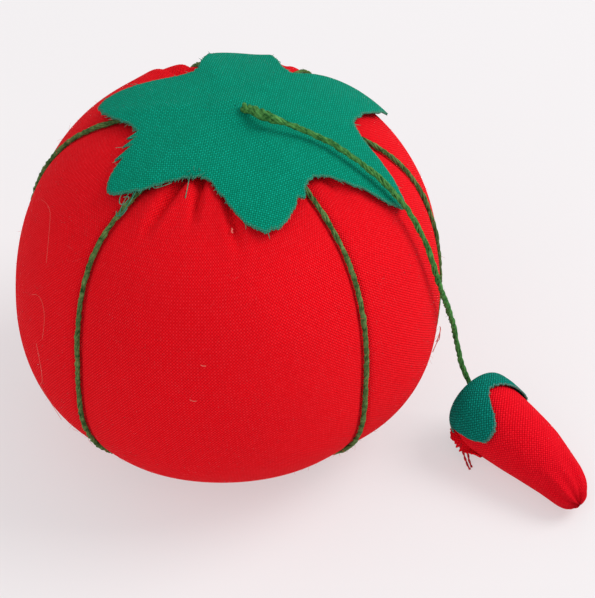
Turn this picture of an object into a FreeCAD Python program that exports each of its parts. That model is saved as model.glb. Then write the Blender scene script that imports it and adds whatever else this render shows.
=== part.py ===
import FreeCAD, Part

import math
import os

import Sketcher

# Tomato pin cushion with a small pepper on a cord.
#
# The ball stands on its flattened base at z = 0 and leans a little towards +X.
# Everything on the ball is drawn in the ball's own frame, whose Z axis is the
# axis of the ball, and is then leaned as one.  The pepper lies beside it, drawn
# along its own X axis.  Millimetres throughout.

DIMENSIONS = {
    # ball
    "waist_radius": 34.4,
    "waist_height": 25.8,
    "side_arc_radius": 46.0,
    "crown_height": 61.4,
    "crown_flat": 7.0,
    "lean_angle": 2.2,
    "settle_depth": 0.8,
    "cover_thickness": 0.4,
    "lining_gap": 0.05,
    "mouth_radius": 2.6,
    # cords and threads
    "cord_radius": 0.55,
    "cord_gap": 0.15,
    "tunnel_gap": 0.25,
    "cord_hole_length": 24.0,
    "cord_hole_lift": 0.05,
    "base_room_height": 3.3,
    "cord_base_level": 2.4,
    "cord_base_bend": 6.0,
    "knot_radius": 1.7,
    "knot_round": 0.35,
    "knot_gap": 0.05,
    "thread_radius": 0.2,
    "core_radius": 1.2,
    # leaf cap on the ball
    "cap_gap": 1.35,
    "cap_thickness": 0.5,
    "cap_hole_radius": 0.85,
    # pepper
    "pepper_length": 28.5,
    "pepper_head_radius": 6.4,
    "pepper_side_arc": 56.0,
    "pepper_tip_radius": 2.76,
    "pepper_cover_thickness": 0.35,
    "pepper_mouth_radius": 1.6,
    "pepper_cap_gap": 0.1,
    "pepper_cap_thickness": 0.4,
    "pepper_cap_length": 8.6,
    "pepper_notch_radius": 3.6,
    "pepper_yaw": -52.0,
    "pepper_pitch": 10.0,
    "tie_knot_radius": 0.85,
    "tie_gap": 0.3,
}

# azimuths of the six cords, in degrees from +X
CORD_AZIMUTHS = (0.0, 57.0, 113.0, 172.0, 227.0, 309.0)

# leaf cap: azimuth and reach of each lobe, then azimuth and depth of the notch after it
CAP_LOBES = (
    (31.0, 27.6, 58.0, 18.4),
    (83.0, 24.6, 114.0, 14.6),
    (153.0, 24.8, 190.0, 15.8),
    (211.0, 23.0, 246.0, 16.0),
    (284.0, 23.6, 313.0, 18.6),
    (338.0, 27.4, 366.0, 19.0),
)
CAP_LOBE_HALF_ANGLE = 12.0
CAP_SHOULDER = 0.86

# level, above the ball's waist, from which the leaf cap's outline is extruded
CAP_BLANK_LIFT = 10.0

# notches between the four lobes of the pepper's cap, in degrees round its axis
PEPPER_NOTCHES = (20.0, 115.0, 205.0, 300.0)

# route of the pepper's cord, from the knot under the leaf cap to the pepper
LEASH_ROUTE = (
    (2.41, 0.00, 61.93),
    (2.49, 0.00, 64.10),
    (5.40, -1.00, 64.70),
    (10.40, -2.60, 64.10),
    (15.80, -4.30, 62.60),
    (21.20, -6.00, 60.10),
    (26.40, -7.40, 56.20),
    (30.90, -8.30, 51.10),
    (34.20, -8.80, 45.10),
    (36.40, -8.60, 38.60),
    (37.70, -7.80, 32.30),
    (38.30, -6.50, 26.30),
    (38.70, -5.40, 20.70),
    (39.10, -4.70, 16.00),
    (39.80, -4.40, 12.20),
    (40.94, -5.08, 9.47),
)
TIE_POINT = (41.30, -5.30, 8.60)

# share of the shorter neighbouring run that a bend of the cord takes up
BEND_SHARE = 0.45

# how far a cutting tool runs past the piece at each end
OVERCUT = 5.0
PEPPER_MOUTH_OVERCUT = 1.0

# block that cuts a form flat at the bottom
FLOOR_BLOCK_SIDE = 120.0
FLOOR_BLOCK_DEPTH = 20.0

Z_AXIS = FreeCAD.Vector(0, 0, 1)
Y_AXIS = FreeCAD.Vector(0, 1, 0)
X_AXIS = FreeCAD.Vector(1, 0, 0)

doc = FreeCAD.newDocument("pin_cushion")
sheet = doc.addObject("Spreadsheet::Sheet", "Dimensions")


def fill_sheet():
    """Write the driving dimensions into the sheet, one aliased cell each."""
    for row, (alias, value) in enumerate(DIMENSIONS.items(), start=1):
        sheet.set(f"A{row}", alias)
        sheet.set(f"B{row}", str(value))
        sheet.setAlias(f"B{row}", alias)
    doc.recompute()


def dim(alias):
    """Value of a driving dimension, read from the sheet."""
    return float(sheet.get(alias))


def ref(alias):
    """Expression that names a driving dimension."""
    return f"Dimensions.{alias}"


def cushion_placement(azimuth=0.0):
    """Placement of the leaning ball's frame, turned about its own axis."""
    lean = FreeCAD.Rotation(Y_AXIS, dim("lean_angle"))
    turn = FreeCAD.Rotation(Z_AXIS, azimuth)
    return FreeCAD.Placement(FreeCAD.Vector(0, 0, -dim("settle_depth")), lean.multiply(turn))


def pepper_direction():
    """Unit vector along the pepper, from its head to its tip."""
    yaw = math.radians(dim("pepper_yaw"))
    pitch = math.radians(dim("pepper_pitch"))
    return FreeCAD.Vector(
        math.cos(yaw) * math.cos(pitch),
        math.sin(yaw) * math.cos(pitch),
        -math.sin(pitch),
    )


def pepper_placement():
    """Placement of the pepper's frame: origin at the crown of its stuffed head."""
    clear = dim("tie_knot_radius") + dim("tie_gap") + dim("pepper_cap_gap") + dim("pepper_cap_thickness")
    origin = FreeCAD.Vector(*TIE_POINT) + pepper_direction() * clear
    yaw = FreeCAD.Rotation(Z_AXIS, dim("pepper_yaw"))
    pitch = FreeCAD.Rotation(Y_AXIS, dim("pepper_pitch"))
    return FreeCAD.Placement(origin, yaw.multiply(pitch))


def new_body(label):
    """PartDesign body with its own label."""
    body = doc.addObject("PartDesign::Body", label)
    body.Label = label
    return body


def sketch_on(body, name, role):
    """Sketch attached to one of the body's own origin planes."""
    plane = next(o for o in body.Origin.OriginFeatures if o.Role == role)
    sketch = body.newObject("Sketcher::SketchObject", name)
    sketch.AttachmentSupport = [(plane, "")]
    sketch.MapMode = "FlatFace"
    return sketch


def arc(centre_x, centre_y, radius, start_deg, end_deg):
    """Counter-clockwise arc for a sketch."""
    circle = Part.Circle(FreeCAD.Vector(centre_x, centre_y, 0), Z_AXIS, radius)
    return Part.ArcOfCircle(circle, math.radians(start_deg), math.radians(end_deg))


def line(x0, y0, x1, y1):
    """Straight line for a sketch."""
    return Part.LineSegment(FreeCAD.Vector(x0, y0, 0), FreeCAD.Vector(x1, y1, 0))


def constrain(sketch, *arguments):
    """Add a geometric constraint."""
    sketch.addConstraint(Sketcher.Constraint(*arguments))


def drive(sketch, name, expression, *arguments):
    """Add a dimension, name it and bind it to the sheet."""
    index = sketch.addConstraint(Sketcher.Constraint(*arguments))
    sketch.renameConstraint(index, name)
    sketch.setExpression(f"Constraints.{name}", expression)


def crown_blend(side_radius, top_height):
    """Crown arc that joins the side arc and the flat top: its radius and the joint's angle."""
    side_centre_x = dim("waist_radius") - dim("side_arc_radius")
    run = dim("crown_flat") - side_centre_x
    rise = top_height - dim("waist_height")
    spread = (run**2 + (rise - side_radius) ** 2) / (2 * (side_radius - rise))
    angle = math.degrees(math.acos(run / spread))
    return side_radius - spread, angle


def ball_form(name, inset_value, inset):
    """Solid of revolution: the ball's outline moved inwards by inset (outwards if negative)."""
    body = new_body(name)
    sketch = sketch_on(body, name + "_outline", "XZ_Plane")
    waist = dim("waist_radius") - inset_value
    middle = dim("waist_height")
    top = dim("crown_height") - inset_value
    side = dim("side_arc_radius") - inset_value
    flat = dim("crown_flat")
    lower = middle - inset_value
    crown, joint = crown_blend(side, top)
    axis_id, top_id, crown_id, side_id, lower_id, base_id = range(6)
    sketch.addGeometry(line(0, inset_value, 0, top))
    sketch.addGeometry(line(0, top, flat, top))
    sketch.addGeometry(arc(flat, top - crown, crown, joint, 90))
    sketch.addGeometry(arc(waist - side, middle, side, 0, joint))
    sketch.addGeometry(arc(waist - lower, middle, lower, -90, 0))
    sketch.addGeometry(line(waist - lower, inset_value, 0, inset_value))
    constrain(sketch, "PointOnObject", axis_id, 1, -2)
    constrain(sketch, "PointOnObject", axis_id, 2, -2)
    constrain(sketch, "Coincident", axis_id, 2, top_id, 1)
    constrain(sketch, "Coincident", axis_id, 1, base_id, 2)
    constrain(sketch, "Horizontal", top_id)
    constrain(sketch, "Horizontal", base_id)
    constrain(sketch, "Tangent", top_id, 2, crown_id, 2)
    constrain(sketch, "Tangent", crown_id, 1, side_id, 2)
    constrain(sketch, "Tangent", side_id, 1, lower_id, 2)
    constrain(sketch, "Tangent", lower_id, 1, base_id, 1)
    constrain(sketch, "Horizontal", lower_id, 3, lower_id, 2)
    drive(sketch, "waist_radius", f"{ref('waist_radius')} - ({inset})", "DistanceX", -1, 1, lower_id, 2, waist)
    drive(sketch, "waist_height", ref("waist_height"), "DistanceY", -1, 1, lower_id, 2, middle)
    drive(sketch, "base_drop", f"{ref('waist_height')} - ({inset})",
          "DistanceY", base_id, 1, lower_id, 2, lower)
    drive(sketch, "side_radius", f"{ref('side_arc_radius')} - ({inset})", "Radius", side_id, side)
    drive(sketch, "top_height", f"{ref('crown_height')} - ({inset})", "DistanceY", -1, 1, top_id, 2, top)
    drive(sketch, "crown_flat", ref("crown_flat"), "DistanceX", -1, 1, top_id, 2, flat)
    turned = body.newObject("PartDesign::Revolution", name + "_turned")
    turned.Profile = sketch
    turned.ReferenceAxis = (sketch, ["V_Axis"])
    turned.Angle = 360
    body.Placement = cushion_placement()
    return body


def floor_block(name, level):
    """Block whose top face is the level below which a form is cut flat."""
    block = doc.addObject("Part::Box", name)
    block.Length = FLOOR_BLOCK_SIDE
    block.Width = FLOOR_BLOCK_SIDE
    block.Height = FLOOR_BLOCK_DEPTH
    corner_point = FreeCAD.Vector(-FLOOR_BLOCK_SIDE / 2, -FLOOR_BLOCK_SIDE / 2, 0)
    block.Placement = FreeCAD.Placement(corner_point, FreeCAD.Rotation())
    block.setExpression("Placement.Base.z", f"{level} - {FLOOR_BLOCK_DEPTH}")
    return block


def cut(label, base, tool):
    """Part::Cut with a label."""
    result = doc.addObject("Part::Cut", label)
    result.Base = base
    result.Tool = tool
    result.Label = label
    return result


def fuse_all(label, shapes):
    """Part::MultiFuse of several shapes."""
    result = doc.addObject("Part::MultiFuse", label)
    result.Shapes = shapes
    result.Label = label
    return result


def cylinder(label, radius, height, level):
    """Part::Cylinder on the ball's axis; radius and height are expressions, level is a number."""
    piece = doc.addObject("Part::Cylinder", label)
    piece.Label = label
    piece.setExpression("Radius", radius)
    piece.setExpression("Height", height)
    raised = FreeCAD.Placement(Z_AXIS * level, FreeCAD.Rotation())
    piece.Placement = cushion_placement().multiply(raised)
    return piece


def cord_pipe(label, azimuth, radius):
    """Tube along one cord's way round the ball, from the crown knot to the base knot."""
    body = new_body(label)
    stand_off = dim("cord_radius") + dim("cord_gap")
    off = f"{ref('cord_radius')} + {ref('cord_gap')}"
    start = dim("knot_radius")
    waist = dim("waist_radius") + stand_off
    middle = dim("waist_height")
    top = dim("crown_height") + stand_off
    side = dim("side_arc_radius") + stand_off
    flat = dim("crown_flat")
    lower = middle + stand_off
    bend = dim("cord_base_bend")
    level = dim("cord_base_level")
    crown, joint = crown_blend(side, top)
    sweep = math.degrees(math.acos((middle - bend - level) / (lower - bend)))
    bend_x = waist - lower + (lower - bend) * math.sin(math.radians(sweep))

    path = sketch_on(body, label + "_path", "XZ_Plane")
    top_id, crown_id, side_id, lower_id, bend_id, base_id = range(6)
    path.addGeometry(line(start, top, flat, top))
    path.addGeometry(arc(flat, top - crown, crown, joint, 90))
    path.addGeometry(arc(waist - side, middle, side, 0, joint))
    path.addGeometry(arc(waist - lower, middle, lower, sweep - 90, 0))
    path.addGeometry(arc(bend_x, level + bend, bend, -90, sweep - 90))
    path.addGeometry(line(bend_x, level, start, level))
    constrain(path, "Horizontal", top_id)
    constrain(path, "Horizontal", base_id)
    constrain(path, "Tangent", top_id, 2, crown_id, 2)
    constrain(path, "Tangent", crown_id, 1, side_id, 2)
    constrain(path, "Tangent", side_id, 1, lower_id, 2)
    constrain(path, "Tangent", lower_id, 1, bend_id, 2)
    constrain(path, "Tangent", bend_id, 1, base_id, 1)
    constrain(path, "Horizontal", lower_id, 3, lower_id, 2)
    drive(path, "start", ref("knot_radius"), "DistanceX", -1, 1, top_id, 1, start)
    drive(path, "finish", ref("knot_radius"), "DistanceX", -1, 1, base_id, 2, start)
    drive(path, "top_height", f"{ref('crown_height')} + {off}", "DistanceY", -1, 1, top_id, 1, top)
    drive(path, "crown_flat", ref("crown_flat"), "DistanceX", -1, 1, top_id, 2, flat)
    drive(path, "waist_radius", f"{ref('waist_radius')} + {off}", "DistanceX", -1, 1, lower_id, 2, waist)
    drive(path, "waist_height", ref("waist_height"), "DistanceY", -1, 1, lower_id, 2, middle)
    drive(path, "side_radius", f"{ref('side_arc_radius')} + {off}", "Radius", side_id, side)
    drive(path, "lower_radius", f"{ref('waist_height')} + {off}", "Radius", lower_id, lower)
    drive(path, "bend_radius", ref("cord_base_bend"), "Radius", bend_id, bend)
    drive(path, "base_level", ref("cord_base_level"), "DistanceY", -1, 1, base_id, 2, level)

    section = sketch_on(body, label + "_section", "YZ_Plane")
    section.setExpression("AttachmentOffset.Base.z", ref("knot_radius"))
    section.addGeometry(Part.Circle(FreeCAD.Vector(0, top, 0), Z_AXIS, dim("cord_radius")))
    constrain(section, "PointOnObject", 0, 3, -2)
    drive(section, "height", f"{ref('crown_height')} + {off}", "DistanceY", -1, 1, 0, 3, top)
    drive(section, "radius", radius, "Radius", 0, dim("cord_radius"))

    pipe = body.newObject("PartDesign::AdditivePipe", label + "_pipe")
    pipe.Profile = section
    pipe.Spine = (path, [f"Edge{number}" for number in range(1, 7)])
    body.Placement = cushion_placement(azimuth)
    return body


def cord_holes(name):
    """Radial holes near the base, one for each cord on its way in to the base knot."""
    holes = []
    for number, azimuth in enumerate(CORD_AZIMUTHS, start=1):
        hole = doc.addObject("Part::Cylinder", f"{name}_{number}")
        hole.setExpression("Radius", f"{ref('cord_radius')} + {ref('tunnel_gap')}")
        hole.setExpression("Height", ref("cord_hole_length"))
        level = FreeCAD.Vector(0, 0, dim("cord_base_level") + dim("cord_hole_lift"))
        radial = FreeCAD.Placement(level, FreeCAD.Rotation(Y_AXIS, 90))
        hole.Placement = cushion_placement(azimuth).multiply(radial)
        holes.append(hole)
    return holes


def thread_ring(label, placement, major):
    """Drawn-up gathering thread: a closed ring; major is an expression."""
    ring = doc.addObject("Part::Torus", label)
    ring.Label = label
    ring.setExpression("Radius1", major)
    ring.setExpression("Radius2", ref("thread_radius"))
    ring.Placement = placement
    return ring


def knot(label, level, height):
    """Rounded drum of knotted cord on the ball's axis."""
    drum = cylinder(label + "_drum", ref("knot_radius"), height, level)
    doc.recompute()
    rounded = doc.addObject("Part::Fillet", label)
    rounded.Label = label
    rounded.Base = drum
    size = dim("knot_round")
    rounded.Edges = [(1, size, size), (3, size, size)]
    return rounded


def make_ball():
    """Cover, stuffing, cords, knots and gathering threads of the ball."""
    thickness = dim("cover_thickness")
    lining = thickness + dim("lining_gap")
    crown = dim("crown_height")
    thin = ref("cover_thickness")
    lined = f"{ref('cover_thickness')} + {ref('lining_gap')}"

    outside = cut("cover_outside", ball_form("outer_form", 0.0, "0"), floor_block("floor_0", "0"))
    inside = cut("cover_inside", ball_form("inner_form", thickness, thin), floor_block("floor_1", thin))
    packed = cut("packed_form", ball_form("packed_ball", lining, lined), floor_block("floor_2", lined))

    shell = cut("cover_shell", outside, inside)
    through = f"{ref('crown_height')} + {2 * OVERCUT}"
    mouths = cylinder("mouths", ref("mouth_radius"), through, -OVERCUT)
    cover = cut("tomato_cover", shell, fuse_all("cover_voids", [mouths] + cord_holes("cover_hole")))

    room_height = f"{ref('base_room_height')} + {OVERCUT}"
    base_room = cylinder("base_room", ref("mouth_radius"), room_height, -OVERCUT)
    passage_radius = f"{ref('core_radius')} + {ref('tunnel_gap')}"
    passage = cylinder("passage", passage_radius, through, -OVERCUT)
    stuffing_voids = fuse_all("stuffing_voids", [base_room, passage] + cord_holes("stuffing_hole"))
    stuffing = cut("tomato_stuffing", packed, stuffing_voids)

    wraps = [cord_pipe(f"segment_cord_{n}", azimuth, ref("cord_radius"))
             for n, azimuth in enumerate(CORD_AZIMUTHS, start=1)]

    knot_height = 2 * (dim("cord_radius") + dim("cord_gap")) - 2 * dim("knot_gap")
    knot_drum = f"2 * ({ref('cord_radius')} + {ref('cord_gap')}) - 2 * {ref('knot_gap')}"
    top_knot = knot("top_knot", crown + dim("knot_gap"), knot_drum)
    base_level = dim("cord_base_level") - knot_height / 2
    base_knot = knot("base_knot", base_level, knot_drum)
    core_bottom = base_level + knot_height
    core = cylinder("core_strands", ref("core_radius"), "1", core_bottom)
    core.setExpression("Height", f"{ref('crown_height')} + {ref('knot_gap')} - {core_bottom}")

    axis_frame = cushion_placement()
    thread_major = f"{ref('mouth_radius')} - {ref('thread_radius')} - {ref('lining_gap')}"
    top_level = FreeCAD.Placement(Z_AXIS * (crown - thickness / 2), FreeCAD.Rotation())
    top_thread = thread_ring("top_gather_thread", axis_frame.multiply(top_level), thread_major)
    base_frame = FreeCAD.Placement(Z_AXIS * (dim("settle_depth") + thickness), FreeCAD.Rotation())
    base_thread = thread_ring("base_gather_thread", axis_frame.multiply(base_frame), thread_major)
    return [cover, stuffing, top_knot, base_knot, core, top_thread, base_thread] + wraps


def cap_outline():
    """Closed outline of the six-lobed leaf cap, as arcs through shoulders, tips and notches."""
    def at(azimuth, radius):
        angle = math.radians(azimuth)
        return FreeCAD.Vector(radius * math.cos(angle), radius * math.sin(angle), 0)

    edges = []
    for number, (azimuth, reach, notch_azimuth, notch_radius) in enumerate(CAP_LOBES):
        following = CAP_LOBES[(number + 1) % len(CAP_LOBES)]
        left = at(azimuth - CAP_LOBE_HALF_ANGLE, reach * CAP_SHOULDER)
        right = at(azimuth + CAP_LOBE_HALF_ANGLE, reach * CAP_SHOULDER)
        next_left = at(following[0] - CAP_LOBE_HALF_ANGLE, following[1] * CAP_SHOULDER)
        edges.append(Part.Arc(left, at(azimuth, reach), right).toShape())
        edges.append(Part.Arc(right, at(notch_azimuth, notch_radius), next_left).toShape())
    return Part.Wire(edges)


def make_leaf_cap():
    """Thin six-lobed cap that follows the crown, with a hole for the pepper's cord."""
    under = dim("cap_gap")
    over = under + dim("cap_thickness")
    upper = ball_form("cap_upper", -over, f"-({ref('cap_gap')} + {ref('cap_thickness')})")
    lower = ball_form("cap_lower", -under, f"-{ref('cap_gap')}")
    layer = cut("cap_layer", upper, lower)
    blank = doc.addObject("Part::Feature", "cap_blank")
    blank_floor = dim("waist_height") + CAP_BLANK_LIFT
    outline = cap_outline()
    outline.translate(Z_AXIS * blank_floor)
    blank.Shape = Part.Face(outline).extrude(Z_AXIS * dim("crown_height"))
    blank.Placement = cushion_placement()
    leaf = doc.addObject("Part::Common", "cap_leaf")
    leaf.Base = layer
    leaf.Tool = blank
    hole = cylinder("cap_hole", ref("cap_hole_radius"), ref("crown_height"), dim("waist_height"))
    return cut("leaf_cap", leaf, hole)


def pepper_form(name, inset_value, inset):
    """Solid of revolution about X: the pepper's outline moved inwards by inset."""
    body = new_body(name)
    sketch = sketch_on(body, name + "_outline", "XY_Plane")
    head = dim("pepper_head_radius")
    side = dim("pepper_side_arc")
    tip = dim("pepper_tip_radius")
    tip_x = dim("pepper_length") - tip
    fall = math.degrees(math.atan2(side - head, tip_x - head))
    axis_id, head_id, side_id, tip_id = range(4)
    head_r = head - inset_value
    side_r = side - inset_value
    tip_r = tip - inset_value
    sketch.addGeometry(line(inset_value, 0, tip_x + tip_r, 0))
    sketch.addGeometry(arc(head, 0, head_r, 90, 180))
    sketch.addGeometry(arc(head, head - side, side_r, fall, 90))
    sketch.addGeometry(arc(tip_x, 0, tip_r, 0, fall))
    constrain(sketch, "PointOnObject", axis_id, 1, -1)
    constrain(sketch, "PointOnObject", axis_id, 2, -1)
    constrain(sketch, "Coincident", axis_id, 1, head_id, 2)
    constrain(sketch, "Coincident", axis_id, 2, tip_id, 1)
    constrain(sketch, "PointOnObject", head_id, 3, -1)
    constrain(sketch, "PointOnObject", tip_id, 3, -1)
    constrain(sketch, "Tangent", head_id, 1, side_id, 2)
    constrain(sketch, "Tangent", side_id, 1, tip_id, 2)
    constrain(sketch, "Vertical", head_id, 3, head_id, 1)
    drive(sketch, "head_centre", ref("pepper_head_radius"), "DistanceX", -1, 1, head_id, 3, head)
    drive(sketch, "head_radius", f"{ref('pepper_head_radius')} - ({inset})", "Radius", head_id, head_r)
    drive(sketch, "side_radius", f"{ref('pepper_side_arc')} - ({inset})", "Radius", side_id, side_r)
    drive(sketch, "tip_centre", f"{ref('pepper_length')} - {ref('pepper_tip_radius')}",
          "DistanceX", -1, 1, tip_id, 3, tip_x)
    turned = body.newObject("PartDesign::Revolution", name + "_turned")
    turned.Profile = sketch
    turned.ReferenceAxis = (sketch, ["H_Axis"])
    turned.Angle = 360
    body.Placement = pepper_placement()
    return body


def pepper_rod(label, radius, length, offset, turn=None):
    """Cylinder in the pepper's frame, along its axis, or radial when a turn round the axis is given."""
    rod = doc.addObject("Part::Cylinder", label)
    rod.setExpression("Radius", radius)
    rod.setExpression("Height", length)
    along = FreeCAD.Rotation(Y_AXIS, 90) if turn is None else FreeCAD.Rotation(X_AXIS, turn)
    local = FreeCAD.Placement(FreeCAD.Vector(offset, 0, 0), along)
    rod.Placement = pepper_placement().multiply(local)
    return rod


def make_pepper():
    """Cover, filling, gathering thread and four-lobed cap of the pepper."""
    thickness = dim("pepper_cover_thickness")
    lining = thickness + dim("lining_gap")
    lined = f"{ref('pepper_cover_thickness')} + {ref('lining_gap')}"
    mouth = pepper_rod("pepper_mouth", ref("pepper_mouth_radius"), ref("pepper_head_radius"),
                       -PEPPER_MOUTH_OVERCUT)
    hollow = fuse_all("pepper_hollow", [
        pepper_form("pepper_inner", thickness, ref("pepper_cover_thickness")), mouth])
    cover = cut("pepper_cover", pepper_form("pepper_outer", 0.0, "0"), hollow)
    filling = pepper_form("pepper_filling", lining, lined)

    thread_major = f"{ref('pepper_mouth_radius')} - {ref('thread_radius')} - {ref('lining_gap')}"
    thread_x = dim("thread_radius") + 2 * dim("lining_gap")
    thread_frame = FreeCAD.Placement(FreeCAD.Vector(thread_x, 0, 0), FreeCAD.Rotation(Y_AXIS, 90))
    thread = thread_ring("pepper_gather_thread", pepper_placement().multiply(thread_frame), thread_major)

    under = dim("pepper_cap_gap")
    over = under + dim("pepper_cap_thickness")
    upper = pepper_form("pepper_cap_upper", -over,
                        f"-({ref('pepper_cap_gap')} + {ref('pepper_cap_thickness')})")
    lower = pepper_form("pepper_cap_lower", -under, f"-{ref('pepper_cap_gap')}")
    layer = cut("pepper_cap_layer", upper, lower)
    reach = pepper_rod("pepper_cap_reach", ref("pepper_length"),
                       f"{ref('pepper_cap_length')} + {OVERCUT}", -OVERCUT)
    skirt = doc.addObject("Part::Common", "pepper_cap_skirt")
    skirt.Base = layer
    skirt.Tool = reach
    notches = [pepper_rod(f"pepper_notch_{n}", ref("pepper_notch_radius"), ref("pepper_length"),
                          dim("pepper_cap_length"), turn)
               for n, turn in enumerate(PEPPER_NOTCHES, start=1)]
    cap = cut("pepper_cap", skirt, fuse_all("pepper_notches", notches))
    return [cover, filling, thread, cap]


def corner(before, at, after):
    """Tangent arc at a route point: its radius, start, middle and end."""
    back = (before - at).normalize()
    ahead = (after - at).normalize()
    turn = math.pi - back.getAngle(ahead)
    shorter = min((before - at).Length, (after - at).Length)
    setback = BEND_SHARE * shorter
    radius = setback / math.tan(turn / 2)
    start = at + back * setback
    end = at + ahead * setback
    bisector = (back + ahead).normalize()
    centre = at + bisector * (radius / math.cos(turn / 2))
    return radius, start, centre - bisector * radius, end


def cord_wire(points):
    """Straight runs joined by tangent arcs, as large as the runs allow."""
    edges = []
    reached = points[0]
    radii = []
    for before, at, after in zip(points, points[1:], points[2:]):
        radius, start, middle, end = corner(before, at, after)
        edges.append(Part.LineSegment(reached, start).toShape())
        edges.append(Part.Arc(start, middle, end).toShape())
        reached = end
        radii.append(round(radius, 2))
    edges.append(Part.LineSegment(reached, points[-1]).toShape())
    print("cord radii, mm:", radii)
    return Part.Wire(edges)


def make_leash():
    """The pepper's cord: a free tube from the crown knot to the pepper's knot."""
    points = [FreeCAD.Vector(*point) for point in LEASH_ROUTE]
    wire = cord_wire(points)
    radius = dim("cord_radius")
    start = Part.Circle(points[0], points[1] - points[0], radius).toShape()
    tube = wire.makePipeShell([Part.Wire(start)], True, True)
    expected = math.pi * radius**2 * wire.Length
    print(f"cord length {wire.Length:.2f} mm, volume {tube.Volume:.3f}, section x length {expected:.3f}")
    leash = doc.addObject("Part::Feature", "leash_cord")
    leash.Label = "leash_cord"
    leash.Shape = tube
    return leash


def make_tie_knot():
    """Small knot that ends the cord at the pepper's head."""
    ball = doc.addObject("Part::Sphere", "pepper_tie_knot")
    ball.Label = "pepper_tie_knot"
    ball.setExpression("Radius", ref("tie_knot_radius"))
    ball.Placement = FreeCAD.Placement(FreeCAD.Vector(*TIE_POINT), FreeCAD.Rotation())
    return ball


def check(pieces):
    """Stop if anything in the document failed or a piece isn't one sound solid."""
    for item in doc.Objects:
        if "Invalid" in item.State or "Error" in item.State:
            raise RuntimeError(f"{item.Name} failed: {item.State}")
    for piece in pieces:
        shape = piece.Shape
        if shape.isNull() or not shape.isValid() or len(shape.Solids) != 1:
            raise RuntimeError(f"{piece.Label}: solids {len(shape.Solids)}, valid {shape.isValid()}")
        box = shape.BoundBox
        print(f"{piece.Label:22s} {shape.Volume:10.2f} mm3  "
              f"x {box.XMin:7.2f} {box.XMax:7.2f}  y {box.YMin:7.2f} {box.YMax:7.2f}  "
              f"z {box.ZMin:7.2f} {box.ZMax:7.2f}")


def write(pieces):
    """Write each piece to its own STEP file."""
    os.makedirs("parts", exist_ok=True)
    for piece in pieces:
        piece.Shape.exportStep(f"parts/{piece.Label}.step")


fill_sheet()
sub_parts = make_ball() + [make_leaf_cap(), make_leash(), make_tie_knot()] + make_pepper()
doc.recompute()
check(sub_parts)
write(sub_parts)
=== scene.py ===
import functools
import logging
import math
from dataclasses import dataclass, field
from enum import Enum
from typing import Callable, Sequence

import bpy
import numpy as np
from mathutils import Matrix, Vector

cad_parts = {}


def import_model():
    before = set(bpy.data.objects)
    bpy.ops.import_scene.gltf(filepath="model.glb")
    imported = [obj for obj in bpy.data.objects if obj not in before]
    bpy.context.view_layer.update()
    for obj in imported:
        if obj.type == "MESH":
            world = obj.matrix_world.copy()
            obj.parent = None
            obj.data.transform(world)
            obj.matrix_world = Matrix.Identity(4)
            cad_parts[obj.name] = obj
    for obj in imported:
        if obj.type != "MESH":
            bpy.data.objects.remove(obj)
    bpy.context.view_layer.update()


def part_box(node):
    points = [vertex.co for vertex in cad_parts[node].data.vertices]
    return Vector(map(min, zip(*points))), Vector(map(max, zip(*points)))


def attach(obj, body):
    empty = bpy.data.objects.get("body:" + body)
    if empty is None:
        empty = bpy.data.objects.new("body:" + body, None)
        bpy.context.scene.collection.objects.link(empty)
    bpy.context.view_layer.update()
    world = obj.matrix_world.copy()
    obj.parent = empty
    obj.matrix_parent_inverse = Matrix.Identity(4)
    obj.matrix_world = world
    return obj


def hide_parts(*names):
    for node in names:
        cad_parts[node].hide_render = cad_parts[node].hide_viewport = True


# Tomato pin cushion: a stuffed ball bound by cords under a leaf cap, with a small pepper on a cord.

LOG = logging.getLogger("pin_cushion")
MM = 0.001
FULL_TURN = 2.0 * math.pi
QUARTER_TURN = math.pi / 2.0
SHORTEST = 1e-12
WELD = 1e-6
UV_MAP = "cloth"
RIM_MARK = "cut_edge"
FIBRE_TAPER = (1.0, 0.9, 0.7, 0.35)
LEAST_SPECULAR = 0.03

Points = np.ndarray
Placer = Callable[[np.ndarray, np.ndarray], np.ndarray]
Colour = tuple[float, float, float, float]
Stop = tuple[float, float, float]


class Body(str, Enum):
    """Bodies of the frame that pieces ride on."""

    CUSHION = "cushion"
    LEASH = "leash"
    TIE = "tie"
    PEPPER = "pepper"


class Slot(str, Enum):
    """Names of the material slots that pieces are passed with."""

    BALL_CLOTH = "ball_cloth"
    STUFFING = "stuffing"
    SEGMENT_CORD = "segment_cord"
    GATHER_THREAD = "gather_thread"
    LEAF_CLOTH = "leaf_cloth"
    LEASH_CORD = "leash_cord"
    PEPPER_CLOTH = "pepper_cloth"
    EMERY = "emery"
    PEPPER_LEAF_CLOTH = "pepper_leaf_cloth"


# ---------------------------------------------------------------- small tools


def deselect() -> None:
    """Deselect every object."""
    bpy.ops.object.select_all(action="DESELECT")


def select_only(piece: bpy.types.Object) -> None:
    """Make one object the only selected and active one."""
    deselect()
    piece.select_set(True)
    bpy.context.view_layer.objects.active = piece


def read_vectors(piece: bpy.types.Object, key: str) -> Points:
    """Read one vector of every vertex.

    Args:
        piece: a mesh object.
        key: the vertices' property.

    Returns:
        An n by 3 array.
    """
    flat = np.empty(len(piece.data.vertices) * 3)
    piece.data.vertices.foreach_get(key, flat)
    return flat.reshape(-1, 3)


def read_points(piece: bpy.types.Object) -> Points:
    """Read an object's vertices as an n by 3 array."""
    return read_vectors(piece, "co")


def read_normals(piece: bpy.types.Object) -> Points:
    """Read an object's vertex normals as an n by 3 array."""
    return read_vectors(piece, "normal")


def write_points(piece: bpy.types.Object, points: Points) -> None:
    """Write an object's vertices from an n by 3 array."""
    piece.data.vertices.foreach_set("co", np.ascontiguousarray(points).reshape(-1))
    piece.data.update()


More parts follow.
